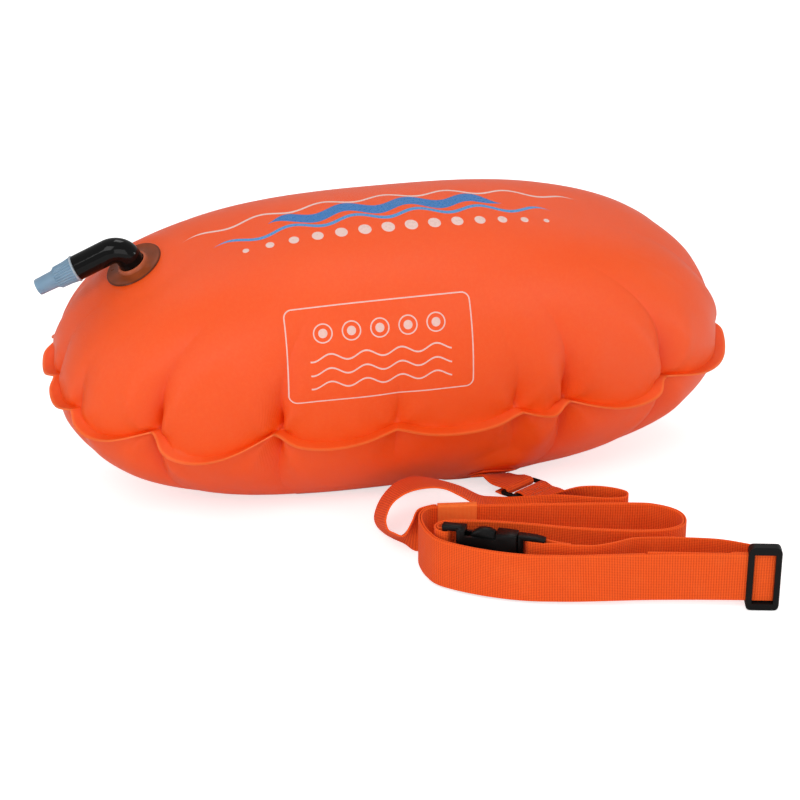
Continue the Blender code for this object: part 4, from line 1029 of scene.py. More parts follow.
def bar_wrap(centre, inward, up, radius):
    """Points of a half turn round a bar, from its top side round to its under side."""
    points = []
    for k in range(BAR_WRAP_STEPS + 1):
        angle = math.pi / 2 - math.pi * k / BAR_WRAP_STEPS
        points.append(centre - inward * (radius * math.cos(angle)) + up * (radius * math.sin(angle)))
    return points


# Each point of the strap's middle: x and y as shares of BELT_LOOP_LENGTH, height as a share of
# WEBBING_WIDTH, then the direction of the strap's width
leash_route_shares = [
    (0.4333, 0.2542, 0.3053, 0.80, 0.52, -0.22),
    (0.4521, 0.2125, 0.3632, 0.82, 0.35, -0.42),
    (0.4667, 0.1625, 0.4368, 0.58, 0.30, -0.75),
    (0.4896, 0.1167, 0.5000, 0.24, 0.15, -0.96),
    (0.5250, 0.0833, 0.5211, 0.02, 0.03, -1.00),
    (0.5667, 0.0562, 0.5211, 0.00, 0.00, -1.00),
    (0.5958, 0.0229, 0.5211, 0.00, 0.00, -1.00),
    (0.5813, -0.0083, 0.5211, 0.00, 0.00, -1.00),
    (0.5292, -0.0125, 0.5211, 0.00, -0.10, -0.99),
    (0.4583, 0.0146, 0.5158, 0.00, -0.15, -0.99),
    (0.3833, 0.0500, 0.4868, 0.00, -0.34, -0.94),
    (0.3125, 0.0792, 0.4342, 0.00, -0.64, -0.77),
    (0.2458, 0.1021, 0.4868, 0.00, -0.90, -0.44),
    (0.1875, 0.1250, 0.6316, -0.15, -0.98, -0.05),
    (0.1354, 0.1542, 0.7895, -0.35, -0.89, 0.28),
    (0.0833, 0.1917, 0.9342, -0.30, -0.90, 0.30),
    (0.0250, 0.2208, 1.0395, -0.10, -0.95, 0.28),
    (-0.0375, 0.2354, 1.0789, 0.02, -0.97, 0.23),
    (-0.1000, 0.2375, 0.9868, 0.02, -0.96, 0.28),
    (-0.1479, 0.2312, 0.7632, 0.00, -0.93, 0.36),
    (-0.1750, 0.2104, 0.4921, 0.00, -0.92, 0.39),
    (-0.1742, 0.1896, 0.3184, 0.00, -0.92, 0.38),
    (-0.1604, 0.1583, 0.2763, -0.03, -0.89, 0.46),
    (-0.1375, 0.1229, 0.2816, 0.02, -0.87, 0.50),
    (-0.1117, 0.0950, 0.4340, -0.02, -0.60, 0.80),
    (-0.0833, 0.0842, 0.5132, 0.00, -0.08, 1.00),
]


def leash_route():
    """The leash's centreline, and the direction of its width at each point."""
    ring, sleeve = ring_frame(), sleeve_frame()
    begin = RING_INNER_DEPTH / 2 + RING_BAR_RADIUS + LEASH_SEWN_LENGTH + GAP
    bar_axis = ring.to_3x3() @ Vector((0, 1, 0))
    layer = (WEBBING_THICKNESS + LAYER_GAP) / 2
    points = [ring @ Vector((begin + further, 0, layer)) for further in (0, LEASH_LEAD_LENGTH)]
    axes = [bar_axis, bar_axis]
    for x_share, y_share, height_share, *axis in leash_route_shares:
        points.append(Vector((*belt_point(x_share, y_share, 0).xy, height_share * WEBBING_WIDTH)))
        axes.append(Vector(axis))
    wall = sleeve_half_size()[0]
    for further in (LEASH_LEAD_LENGTH, 0):
        points.append(sleeve @ Vector((-SLEEVE_LENGTH / 2 - GAP - further, wall, 0)))
        axes.append(Vector((0, 0, 1)))
    return catmull(points, LEASH_STEPS), [axis.normalized() for axis in catmull(axes, LEASH_STEPS)]


# The middle of the doubled stretch, from the adjuster slide round to the buckle: x and y as
# shares of BELT_LOOP_LENGTH, and the lift off the floor as a share of HARDWARE_LIFT
double_route_shares = [
    (0.8410, -0.5210, 1.28),
    (0.7180, -0.4845, 1.26),
    (0.6000, -0.4495, 1.18),
    (0.4904, -0.4170, 1.04),
    (0.3671, -0.3820, 0.80),
    (0.2625, -0.3480, 0.56),
    (0.1417, -0.3030, 0.42),
    (0.0260, -0.2370, 0.40),
    (-0.0700, -0.1540, 0.38),
    (-0.0960, -0.0880, 0.36),
    (-0.1000, -0.0200, 0.36),
    (-0.0890, 0.0320, 0.36),
    (-0.0660, 0.0620, 0.36),
    (-0.0360, 0.0700, 0.36),
    (0.0250, 0.0600, 0.36),
    (0.0917, 0.0475, 0.36),
    (0.2290, 0.0200, 0.30),
    (0.3667, -0.0060, 0.20),
    (0.5950, -0.0560, 0.05),
    (0.6600, -0.0850, 0.05),
    (0.7030, -0.1300, 0.05),
    (0.7130, -0.1800, 0.05),
    (0.6900, -0.2280, 0.05),
    (0.6250, -0.2460, 0.05),
    (0.5180, -0.2260, 0.10),
    (0.3580, -0.1720, 0.20),
    (0.2200, -0.1160, 0.40),
    (0.1125, -0.0820, 0.65),
    (0.0350, -0.0660, 0.85),
    (-0.0330, -0.0610, 1.06),
    (-0.0660, -0.0750, 1.06),
    (-0.0690, -0.0985, 1.06),
    (-0.0500, -0.1146, 1.06),
]

# The single stretch, from beside the adjuster slide to the buckle's male half
single_route_shares = [
    (0.9150, -0.5445, 1.28),
    (0.9215, -0.5250, 1.27),
    (0.9080, -0.5040, 1.24),
    (0.8740, -0.4810, 1.18),
    (0.8250, -0.4370, 1.10),
    (0.7500, -0.3830, 1.00),
    (0.6600, -0.3440, 0.90),
    (0.5830, -0.3200, 0.90),
    (0.5000, -0.3060, 0.95),
    (0.4250, -0.3220, 1.06),
    (0.3620, -0.3240, 1.06),
]


def belt_point(x_share, y_share, lift_share):
    """A place in the belt's plan, which lies in front of the bladder."""
    front = -(BLADDER_HALF_WIDTH + BELT_STANDOFF)
    height = WEBBING_WIDTH / 2 + HARDWARE_LIFT * lift_share
    return Vector((x_share * BELT_LOOP_LENGTH, front + y_share * BELT_LOOP_LENGTH, height))


def plan_left(along):
    return Vector((-along.y, along.x, 0)).normalized()


def looped_route(route, bar_radius, hold=0.0):
    """Both layers of a strap that comes along a route and turns back round a bar at its end.

    Gives the incoming layer with the turn, and the returning layer, from the bar outwards.
    """
    layer = (WEBBING_THICKNESS + LAYER_GAP) / 2
    wide = bar_radius + GAP + WEBBING_THICKNESS / 2
    bar = route[-1]
    incoming, returning = [], []
    for point, along in zip(route, tangents(route)):
        spread = 1 - smoothstep(((point - bar).length - hold) / LAYER_SPREAD_LENGTH)
        offset = plan_left(along) * (layer + (wide - layer) * spread)
        incoming.append(point + offset)
        returning.append(point - offset)
    along = tangents(route)[-1]
    left = plan_left(along)
    for k in range(1, BELT_TURN_STEPS):
        angle = math.pi * k / BELT_TURN_STEPS
        incoming.append(bar + left * (wide * math.cos(angle)) + along * (wide * math.sin(angle)))
    return incoming, returning[::-1]


def rounded_corners(half_width, half_height, corner, steps):
    """Points round a round-cornered rectangle, each as its corner's middle and the way out of it."""
    points = []
    for across, up, start in ((1, 1, 0), (-1, 1, 90), (-1, -1, 180), (1, -1, 270)):
        for k in range(steps + 1):
            angle = math.radians(start + 90 * k / steps)
            middle = Vector((across * (half_width - corner), up * (half_height - corner)))
            points.append((middle, Vector((math.cos(angle), math.sin(angle)))))
    return points


def upright(route):
    return [Vector((0, 0, 1))] * len(route)


def glide_frame():
    """Origin in the adjuster slide's middle, X along the strap, Y to the back, Z up."""
    place, next_place = (belt_point(*double_route_shares[k]) for k in (0, 1))
    next_place.z = place.z
    return frame_matrix(place, place - next_place, Vector((0, 0, 1)))


def between(point, stop, start):
    """Whether a point of the straight stretch lies to the right of where the long piece stops."""
    along = (start - stop).normalized()
    offset = point - stop
    beside = (offset - along * offset.dot(along)).length
    return offset.dot(along) > -GAP and beside < WEBBING_WIDTH / 4


def buckle_frame():
    """Origin in the middle of the female half's bar, X to the male half, Z up."""
    place = belt_point(*double_route_shares[-1])
    heading = Vector((math.cos(BUCKLE_HEADING), math.sin(BUCKLE_HEADING), 0))
    return frame_matrix(place, heading, Vector((0, 0, 1)))


def sleeve_frame():
    """Origin in the middle of the sleeve, X along the belt, Z up."""
    first, last = (belt_point(*double_route_shares[k]) for k in (14, 15))
    along = (last - first).normalized()
    place = first.lerp(last, (SLEEVE_CENTRE_SHARE * BELT_LOOP_LENGTH - first.x) / (last.x - first.x))
    return frame_matrix(place, along, Vector((0, 0, 1)))


def sleeve_half_size():
    """How far the middle of the sleeve's wall is from the belt's middle, across and up."""
    across = WEBBING_THICKNESS * 1.5 + LAYER_GAP / 2 + SLEEVE_CLEARANCE
    return across, WEBBING_WIDTH / 2 + SLEEVE_CLEARANCE + WEBBING_THICKNESS / 2


# The bladder's skins


def lengths_along(route):
    """The distance along a route up to each of its points."""
    lengths = [0.0]
    for first, second in zip(route, route[1:]):
        lengths.append(lengths[-1] + (second - first).length)
    return lengths


OUTLINE_ANGLES = [math.tau * k / OUTLINE_STEPS for k in range(OUTLINE_STEPS + 1)]
OUTLINE_LENGTHS = lengths_along([plan_point(angle) for angle in OUTLINE_ANGLES])


def along_outline(angle):
    share = (angle % math.tau) / math.tau * (len(OUTLINE_LENGTHS) - 1)
    k = int(share)
    after = OUTLINE_LENGTHS[min(k + 1, len(OUTLINE_LENGTHS) - 1)]
    return OUTLINE_LENGTHS[k] + (after - OUTLINE_LENGTHS[k]) * (share - k)


def outline_gap(angle, centre):
    """The distance along the outline from a pucker, the short way round."""
    whole = OUTLINE_LENGTHS[-1]
    return (along_outline(angle) - along_outline(centre) + whole / 2) % whole - whole / 2


def near_folds(angle):
    """The folds near a plan angle, each with its depth and how far along the outline it is."""
    gaps = [(depth, abs(outline_gap(angle, centre))) for centre, depth, share in PUCKERS]
    return [(depth, gap) for depth, gap in gaps if gap < FOLD_REACH]


def skin_angles():
    """Plan angles all the way round, closer together by each fold."""
    steps = CROWDING_STEPS
    crowd = [0.0]
    for k in range(steps):
        angle = math.tau * (k + 0.5) / steps
        gap = min(abs(outline_gap(angle, centre)) for centre, depth, share in PUCKERS)
        length = along_outline(math.tau * (k + 1) / steps - TINY) - along_outline(math.tau * k / steps)
        crowding = 1 + FOLD_CROWDING * math.exp(-((gap / FOLD_CROWDING_WIDTH) ** 2))
        crowd.append(crowd[-1] + length * crowding)
    angles, k = [], 0
    for n in range(SKIN_ANGLES):
        wanted = crowd[-1] * n / SKIN_ANGLES
        while crowd[k + 1] <= wanted:
            k += 1
        angles.append(math.tau * (k + (wanted - crowd[k]) / (crowd[k + 1] - crowd[k])) / steps)
    return angles + [math.tau]


def crease(angle, folds, rise):
    """How far the folds pull the skin in at a height above the weld, and how deep in a fold it is, which sets
    the painted shade there.
    """
    pull = shade = 0.0
    for depth, gap in folds:
        reach = CREASE_RISE * (CREASE_LEAST_CLIMB + CREASE_MORE_CLIMB * depth)
        fade = math.exp(-((rise / reach) ** CREASE_FADE))
        width = CREASE_WIDTH + CREASE_SPREAD * rise / reach
        bank = math.exp(-(((gap - BANK_PLACE * width) / (BANK_WIDTH * width)) ** 2))
        pull += depth * fade * (math.exp(-gap / width) - BANK_SHARE * bank)
        shade += depth * fade * math.exp(-gap / (SHADE_WIDTH * width))
    place = along_outline(angle) / GATHER_LENGTH
    gathers = sum(
        share * noise.noise(Vector((place * scale, rise / tall, seed)))
        for scale, tall, seed, share in gather_waves
    )
    return CREASE_DEPTH * pull + GATHER_DEPTH * gathers * math.exp(-rise / GATHER_RISE), min(1.0, shade)


def skin_point(angle, folds, ring, side):
    """A point of a panel with its folds, and how deep in a fold it is, which sets the painted shade there."""
    point = panel_point(angle, ring, side)
    rise = panel_section(ring, side)[1]
    outward = plan_point(angle).normalized()
    lean = LEAN_SHARE * smoothstep(rise / LEAN_RISE)
    normal = (outward * (1 - lean) + Vector((0, 0, side * lean))).normalized()
    pull, fold_shade = crease(angle, folds, rise)
    return point - normal * (pull * smoothstep(rise / WELD_HOLD)), fold_shade


def above_floor(point):
    """Ease a point of the lower skin onto the floor where it would sink."""
    if point.z < FLOOR_EASE:
        lifted = FLOOR_EASE * math.exp((point.z - FLOOR_EASE) / FLOOR_EASE)
        point = Vector((point.x, point.y, max(lifted * FLOOR_SQUASH, FLOOR_CLEARANCE)))
    return point


def skin(name, side, material):
    """One panel of the bladder out to the edge of its weld, with the cloth's flat pattern as chart."""
    rows, chart, deep = [], [], []
    angles = skin_angles()
    folds = [near_folds(a) for a in angles]
    lift = side * (GAP / 2 + FABRIC_THICKNESS)
    steepness = [weld_steepness(a) for a in angles]
    for r in range(SKIN_RINGS + 1):
        ring = 1 - (1 - r / SKIN_RINGS) ** RING_EASE
        drawn = [skin_point(a, near, ring, side) for a, near in zip(angles, folds)]
        row = [point for point, fold_shade in drawn]
        deep.append([fold_shade for point, fold_shade in drawn])
        if r == SKIN_RINGS:
            row = [weld_point(a, 0.0) for a in angles]
        eased = smoothstep((ring - LIFT_START) / LIFT_SPAN)
        rows.append([p + Vector((0, 0, lift * s * eased)) for p, s in zip(row, steepness)])
    for k in range(1, WELD_STEPS + 1):
        edge = [weld_point(a, k / WELD_STEPS) for a in angles]
        rows.append([point + Vector((0, 0, lift * s)) for point, s in zip(edge, steepness)])
    reach = [0.0] * len(angles)
    for r, row in enumerate(rows):
        if r:
            reach = [d + (p - q).length for d, p, q in zip(reach, row, rows[r - 1])]
        flat = [plan_point(a).normalized() * d for a, d in zip(angles, reach)]
        chart.append([(p.x, p.y) for p in flat])
    placed = [[above_floor(ROLL @ p) if side < 0 else ROLL @ p for p in row] for row in rows]
    welds = [[k / WELD_STEPS] * len(angles) for k in range(1, WELD_STEPS + 1)]
    blank = [[0.0] * len(angles)] * WELD_STEPS
    # The fold share carries the painted shade in the folds to the material
    shares = {"weld": [[0.0] * len(angles)] * (SKIN_RINGS + 1) + welds, "fold_shade": deep + blank}
    piece = shaped_grid(name, placed, material, chart, "Flat cloth", shares)
    if (piece.data.polygons[0].normal.z * side) < 0:
        edit(piece, (bpy.ops.mesh.flip_normals, {}))
    thick = {"thickness": FABRIC_THICKNESS, "offset": -1.0, "use_even_offset": False}
    finish_shape(piece, ("SOLIDIFY", thick), smooth_degrees=60)
    return piece


def make_bladder():
    upper = skin("upper_skin", 1, coated_fabric("printed coated fabric", True))
    settle(upper, "buoy", "coated_fabric", "upper_panel")
    lower = skin("lower_skin", -1, coated_fabric("plain coated fabric", False))
    settle(lower, "buoy", "coated_fabric", "lower_panel")


# The valve


def make_valve():
    centre, normal, arm = valve_frames()
    across = normal.cross(arm)
    matrix = frame_matrix(centre, normal, arm)
    bore = TUBE_OUTER_RADIUS - TUBE_WALL
    top = GAP + VALVE_FLANGE_THICKNESS
    inner = TUBE_OUTER_RADIUS + GAP
    outer = inner + VALVE_COLLAR_WALL
    high = top + VALVE_COLLAR_HEIGHT
    soft = VALVE_FLANGE_THICKNESS / 2
    profile = [
        (GAP, bore), (GAP, VALVE_FLANGE_RADIUS - soft), (GAP + soft / 2, VALVE_FLANGE_RADIUS),
        (top, VALVE_FLANGE_RADIUS - soft), (top + soft / 3, VALVE_FLANGE_RADIUS - 4 * soft),
        (top, VALVE_FLANGE_RADIUS - 5 * soft), (top, outer + 3 * soft), (top + soft, outer + soft),
        (high - soft, outer - soft), (high, outer - 2 * soft), (high, inner + soft),
        (high - soft, inner), (top, inner), (top, bore),
    ]
    film = tube("valve_film_flange", turned_rings(profile, FLANGE_SIDES, matrix), tinted_film())
    settle(film, "buoy", "brown_film", "valve_flange")
    route = bent_route(centre, normal, arm)
    ways = tangents(route)
    turn = [math.tau * n / TUBE_SIDES for n in range(TUBE_SIDES)]
    rings = []
    for reach, order in ((TUBE_OUTER_RADIUS, range(len(route))), (bore, reversed(range(len(route))))):
        for k in order:
            up = (across - ways[k] * across.dot(ways[k])).normalized()
            side = ways[k].cross(up)
            offsets = [up * (reach * math.cos(a)) + side * (reach * math.sin(a)) for a in turn]
            rings.append([route[k] + offset for offset in offsets])
    elbow = tube("valve_bent_tube", rings, glossy_vinyl(), smooth_degrees=50)
    settle(elbow, "buoy", "black_vinyl", "valve_elbow")
    make_mouthpiece(route[-1], arm, normal)


def bent_route(centre, normal, arm):
    """The bent tube's centreline, with its bend drawn in small steps."""
    foot = centre + normal * (GAP + VALVE_FLANGE_THICKNESS + GAP)
    turn = foot + normal * TUBE_STEM_LENGTH + arm * TUBE_BEND_RADIUS
    route = [foot + normal * (TUBE_STEM_LENGTH * k / TUBE_STEM_STEPS) for k in range(TUBE_STEM_STEPS)]
    for k in range(FINE_TURN_STEPS + 1):
        angle = math.pi / 2 * k / FINE_TURN_STEPS
        route.append(turn - (arm * math.cos(angle) - normal * math.sin(angle)) * TUBE_BEND_RADIUS)
    end = route[-1]
    share = TUBE_ARM_LENGTH / TUBE_ARM_STEPS
    return route + [end + arm * (share * k) for k in range(1, TUBE_ARM_STEPS + 1)]


def tube_end():
    """Where the bent tube ends, and the way that the mouthpiece points from there."""
    centre, normal, arm = valve_frames()
    return bent_route(centre, normal, arm)[-1], arm


def mouthpiece_profile():
    """The mouthpiece's section, out along its outside and back along its bore."""
    rib, radius, tip = MOUTHPIECE_RIB_DEPTH, TUBE_OUTER_RADIUS, MOUTHPIECE_TIP_RADIUS
    length, waist = MOUTHPIECE_LENGTH, radius * MOUTHPIECE_WAIST_SHARE
    seat = INSERT_NOSE_LENGTH + PLUG_LENGTH * PLUG_SEAT_SHARE
    bore, tip_bore = INSERT_NOSE_RADIUS + 2 * GAP, PLUG_RADIUS + GAP
    groove = INSERT_NOSE_RADIUS + 2 * SEAL_SECTION_RADIUS + 2 * GAP
    grip_end, middle = MOUTHPIECE_GRIP_LENGTH, (radius + tip) / 2
    outer = [
        (GAP, radius - rib / 2), (GAP + rib / 3, radius + rib / 2), (GAP + rib, radius + rib),
        (2 * rib, radius + rib), (3 * rib, radius + rib / 2), (4 * rib, radius), (5 * rib, radius),
        (grip_end / 2, waist), (grip_end, middle + rib), (grip_end + rib, middle),
        (grip_end + 3 * rib, tip + rib), (grip_end + 5 * rib, tip + rib / 2), (length - 6 * rib, tip),
        (length - 2 * rib, tip), (length - rib / 2, tip - rib / 3), (length, tip - rib),
    ]
    inner = [
        (length, tip_bore + rib / 2), (length - rib, tip_bore), (seat, tip_bore),
        (seat - tip_bore / 2, bore), (SEAL_INSET + 2 * SEAL_SECTION_RADIUS, bore),
        (SEAL_INSET + SEAL_SECTION_RADIUS, groove), (SEAL_INSET - SEAL_SECTION_RADIUS, groove),
        (SEAL_INSET - 2 * SEAL_SECTION_RADIUS, bore), (GAP, bore),
    ]
    return outer + inner


def make_mouthpiece(end, arm, normal):
    matrix = frame_matrix(end, arm, normal)
    start, stop = 4 * MOUTHPIECE_RIB_DEPTH, MOUTHPIECE_GRIP_LENGTH + MOUTHPIECE_RIB_DEPTH

    def flute(along, angle):
        if not start <= along <= stop:
            return 0.0
        return MOUTHPIECE_RIB_DEPTH * (0.5 + 0.5 * math.cos(angle * MOUTHPIECE_RIBS)) ** 2

    rings = turned_rings(mouthpiece_profile(), MOUTHPIECE_RIBS * SIDES_PER_RIB, matrix, flute)
    mouthpiece = tube("fluted_mouthpiece", rings, clouded_blue(), smooth_degrees=40)
    settle(mouthpiece, "mouthpiece", "pale_blue_plastic", "mouthpiece")
    white = clouded(
        "insert white plastic", WHITE_PLASTIC, WHITE_PLASTIC_DEEP, WHITE_CLOUD, 0.34, 0.14
    )
    insert = finer_copy("valve_insert", "threaded_insert", white)
    settle(insert, "buoy", "white_plastic", "valve_insert")
    rubber = clouded("seal black rubber", BLACK_MOULDED, BLACK_HANDLED, RUBBER_CLOUD, 0.5, 0.25)
    seal = finer_copy("valve_seal_ring", "seal_ring", rubber)
    settle(seal, "seal", "black_rubber", "valve_seal_ring")


# Stitches


def sew(name, seams, material, body):
    """Stitches along seams; each seam is a list of (point, normal) that its thread follows."""
    bpy.ops.object.select_all(action="DESELECT")
    bpy.ops.mesh.primitive_uv_sphere_add(
        segments=STITCH_SIDES, ring_count=STITCH_RINGS, radius=1.0, location=(0, 0, 0)
    )
    pattern = bpy.context.object
    base = [v.co.copy() for v in pattern.data.vertices]
    stitches = []
    for seam in seams:
        for place, along, normal in stitch_places(seam):
            turn = frame_matrix(place, along, normal)
            copy = pattern.copy()
            copy.data = pattern.data.copy()
            bpy.context.scene.collection.objects.link(copy)
            for vert, co in zip(copy.data.vertices, base):
                dip = THREAD_RADIUS * (STITCH_LIFT - STITCH_ARCH * co.x * co.x)
                rise = co.z * THREAD_RADIUS * STITCH_SQUASH + dip
                vert.co = turn @ Vector((co.x * STITCH_LENGTH / 2, co.y * THREAD_RADIUS, rise))
            stitches.append(copy)
    bpy.data.objects.remove(pattern)
    bpy.ops.object.select_all(action="DESELECT")
    for stitch in stitches:
        stitch.select_set(True)
    bpy.context.view_layer.objects.active = stitches[0]
    bpy.ops.object.join()
    piece = bpy.context.object
    piece.name = piece.data.name = name
    piece.data.materials.clear()
    piece.data.materials.append(material)
    finish_shape(piece, smooth_degrees=60)
    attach(piece, body)
    return piece


def stitch_places(seam):
    """Evenly spaced places along a seam, each with its direction and the cloth's normal."""
    places, carried = [], STITCH_PITCH / 2
    for (first, normal), (second, after) in zip(seam, seam[1:]):
        span = (second - first).length
        while carried <= span and span > 0:
            share = carried / span
            along = (second - first).normalized()
            places.append((first.lerp(second, share), along, normal.lerp(after, share)))
            carried += STITCH_PITCH
        carried -= span
    return places


def strip_seams(route, axes, face, start, end, cross=True):
    """A sewn box along part of a strap: both long sides, both ends, and the cross between."""
    normals = [along.cross(axis).normalized() * face for along, axis in zip(tangents(route), axes)]
    lengths = lengths_along(route)

    def at(distance, offset):
        passed = sum(1 for length in lengths if length <= distance)
        k = max(0, min(len(route) - 2, passed - 1))
        share = (distance - lengths[k]) / max(TINY, lengths[k + 1] - lengths[k])
        normal = normals[k].lerp(normals[k + 1], share).normalized()
        axis = axes[k].lerp(axes[k + 1], share).normalized()
        place = route[k].lerp(route[k + 1], share)
        return place + axis * offset + normal * (WEBBING_THICKNESS / 2), normal

    half = WEBBING_WIDTH / 2 - SEAM_INSET
    run = [start + (end - start) * k / SEAM_STEPS for k in range(SEAM_STEPS + 1)]
    seams = [[at(d, side * half) for d in run] for side in (-1, 1)]
    across = [half * (2 * k / SEAM_STEPS - 1) for k in range(SEAM_STEPS + 1)]
    seams += [[at(d, offset) for offset in across] for d in (start, end)]
    if cross:
        for side in (-1, 1):
            seams.append([at(d, side * offset) for d, offset in zip(run, across)])
    return seams


# The anchor tab and ring under the bladder


def tab_route():
    """From the patch round the ring's back bar, and the direction of the tab's width."""
    patch, ring = patch_frame(), ring_frame()
    down = patch.to_3x3() @ Vector((0, 0, 1))
    along = patch.to_3x3() @ Vector((1, 0, 0))
    seat = patch.translation + down * (3 * GAP + PATCH_THICKNESS + WEBBING_THICKNESS / 2)
    away, bar_axis, up = (ring.to_3x3() @ Vector(axis) for axis in ((1, 0, 0), (0, 1, 0), (0, 0, 1)))
    radius = RING_BAR_RADIUS + GAP + WEBBING_THICKNESS / 2
    back_bar = ring.translation - away * (RING_INNER_DEPTH / 2 + RING_BAR_RADIUS)
    wrap = bar_wrap(back_bar, -away, up, radius)
    tail = [wrap[-1] - away * radius, back_bar - away * (3 * radius) - up * (radius - LAYER_GAP)]
    lead = [
        seat - along * (TAB_SEWN_LENGTH / 2),
        seat - along * (TAB_SEWN_LENGTH / 2 - TAB_LEAD_LENGTH),
        seat + along * TAB_LEAD_LENGTH + down * WEBBING_THICKNESS,
        back_bar - away * (3 * radius) + up * radius,
    ]
    route = catmull(lead + [wrap[0]], TAB_STEPS)[:-1] + wrap + tail
    patch_axis = down.cross(along)
    if patch_axis.dot(bar_axis) < 0:
        patch_axis.negate()
    shares = [smoothstep(i / TAB_STEPS - 2) for i in range(len(route))]
    return route, [patch_axis.lerp(bar_axis, share).normalized() for share in shares]


def make_anchor(webbing, plastic, thread):
    patch = finer_copy("anchor_patch", "welded_patch", coated_fabric("patch coated fabric", False))
    settle(patch, "buoy", "coated_fabric", "anchor_patch")
    route, axes = tab_route()
    tab = strap("anchor_tab_webbing", route, axes, webbing)
    settle(tab, "buoy", "orange_webbing", "anchor_tab")
    sew("tab_stitching", strip_seams(route, axes, 1, *TAB_SEAM), thread, "buoy")
    matrix = ring_frame()
    half_x = RING_INNER_DEPTH / 2 + RING_BAR_RADIUS
    half_y = WEBBING_WIDTH / 2 + RING_SIDE_CLEARANCE + RING_BAR_RADIUS
    corner = RING_INNER_DEPTH / 4
    turn = [math.tau * n / BAR_SIDES for n in range(BAR_SIDES)]
    rings = []
    for middle, way in rounded_corners(half_x, half_y, corner, ANCHOR_CORNER_STEPS):
        side = way.to_3d()
        point = middle.to_3d() + side * corner
        offsets = [side * math.cos(a) + Vector((0, 0, math.sin(a))) for a in turn]
        rings.append([matrix @ (point + offset * RING_BAR_RADIUS) for offset in offsets])
    ring = tube("moulded_anchor_ring", rings, plastic, smooth_degrees=60)
    settle(ring, "ring", "black_plastic", "anchor_ring")


# The leash


def make_leash(webbing):
    route, axes = leash_route()
    leash = strap("leash_strap", route, axes, webbing, square=False)
    settle(leash, "buoy", "orange_webbing", "leash_webbing")
    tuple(route[-1])
    lengths_along(route)[-1]
    [list(point) for point in route[::-1]]


def ring_loop_route():
    """From the sewn end round the ring's front bar and back, and the direction of its width."""
    matrix = ring_frame()
    radius = RING_BAR_RADIUS + GAP + WEBBING_THICKNESS / 2
    layer = (WEBBING_THICKNESS + LAYER_GAP) / 2
    bar_x = RING_INNER_DEPTH / 2 + RING_BAR_RADIUS
    flat = [(bar_x + LEASH_SEWN_LENGTH, layer), (bar_x + LAYER_SPREAD_LENGTH, layer)]
    flat.append((bar_x + radius, radius))
    for k in range(FINE_TURN_STEPS + 1):
        angle = math.pi / 2 + math.pi * k / FINE_TURN_STEPS
        flat.append((bar_x + radius * math.cos(angle), radius * math.sin(angle)))
    flat += [(bar_x + radius, -radius), (bar_x + LAYER_SPREAD_LENGTH, -layer)]
    flat.append((bar_x + LEASH_SEWN_LENGTH, -layer))
    route = [matrix @ Vector((x, 0, z)) for x, z in flat]
    return route, [matrix.to_3x3() @ Vector((0, 1, 0))] * len(route)


def sleeve_rows():
    """The sleeve's frame, and the points and outward ways round its wall."""
    matrix = sleeve_frame()
    half_y, half_z = sleeve_half_size()
    route, axes = [], []
    for middle, way in rounded_corners(half_y, half_z, SLEEVE_CORNER, SLEEVE_CORNER_STEPS):
        outward = Vector((0, *way))
        route.append(matrix @ (Vector((0, *middle)) + outward * SLEEVE_CORNER))
        axes.append(outward)
    return matrix, route, axes


def make_leash_ends(webbing, sleeve_cloth, thread):
    route, axes = ring_loop_route()
    loop = strap("leash_ring_end", route, axes, webbing)
    settle(loop, "ring", "orange_webbing", "leash_ring_loop")
    lined = [route[0].lerp(route[1], k / TAIL_STEPS) for k in range(TAIL_STEPS)] + route[1:]
    seams = []
    for face in (1, -1):
        seams += strip_seams(lined, [axes[0]] * len(lined), face, *LEASH_SEAM)
    sew("leash_end_stitching", seams, thread, "ring")
    make_sleeve(sleeve_cloth)


def make_sleeve(sleeve_cloth):
    matrix, around, outward = sleeve_rows()
    face = WEBBING_THICKNESS / 2
    columns = [SLEEVE_LENGTH / 2 * (2 * k / SLEEVE_COLUMNS - 1) for k in range(SLEEVE_COLUMNS + 1)]
    rings, chart, done = [], [], 0.0
    turn = matrix.to_3x3()
    along = turn @ Vector((1, 0, 0))
    for i, (point, away) in enumerate(zip(around, outward)):
        out = turn @ away
        outer = [point + along * x + out * face for x in columns]
        inner = [point + along * x - out * face for x in columns[::-1]]
        done += (point - around[i - 1]).length if i else 0.0
        rings.append(outer + inner)
        chart.append([(x, done) for x in columns + columns[::-1]])
    rows = [ring + ring[:1] for ring in rings]
    charts = [line + line[:1] for line in chart]
    rows.append(rows[0])
    charts.append([(x, done + SLEEVE_WEAVE_PITCH) for x, y in charts[0]])
    sleeve = shaped_grid("leash_belt_sleeve", rows, sleeve_cloth, charts)
    outwards(sleeve)
    finish_shape(sleeve, smooth_degrees=50)
    settle(sleeve, "buoy", "orange_webbing", "leash_end_loop")


# The belt


def long_piece_path():
    """Through the adjuster slide, round both bends, and back from the buckle."""
    route = catmull([belt_point(*shares) for shares in double_route_shares], BELT_STEPS)
    start = glide_frame() @ Vector((GLIDE_HALF_LENGTH + GLIDE_STRAP_OVERHANG - BELT_TUCK, 0, 0))
    incoming, returning = looped_route([start] + route, BUCKLE_BAR_RADIUS)
    stop = glide_frame() @ Vector((-BELT_ADJUSTER_END_LENGTH - WEBBING_THICKNESS, 0, 0))
    layer = (WEBBING_THICKNESS + LAYER_GAP) / 2
    stop -= plan_left(route[1] - route[0]) * layer
    stop.z = belt_point(*double_route_shares[3]).z
    kept = [p for p in returning if (p - returning[0]).length < GAP or not between(p, stop, start)]
    return incoming + kept + [stop]


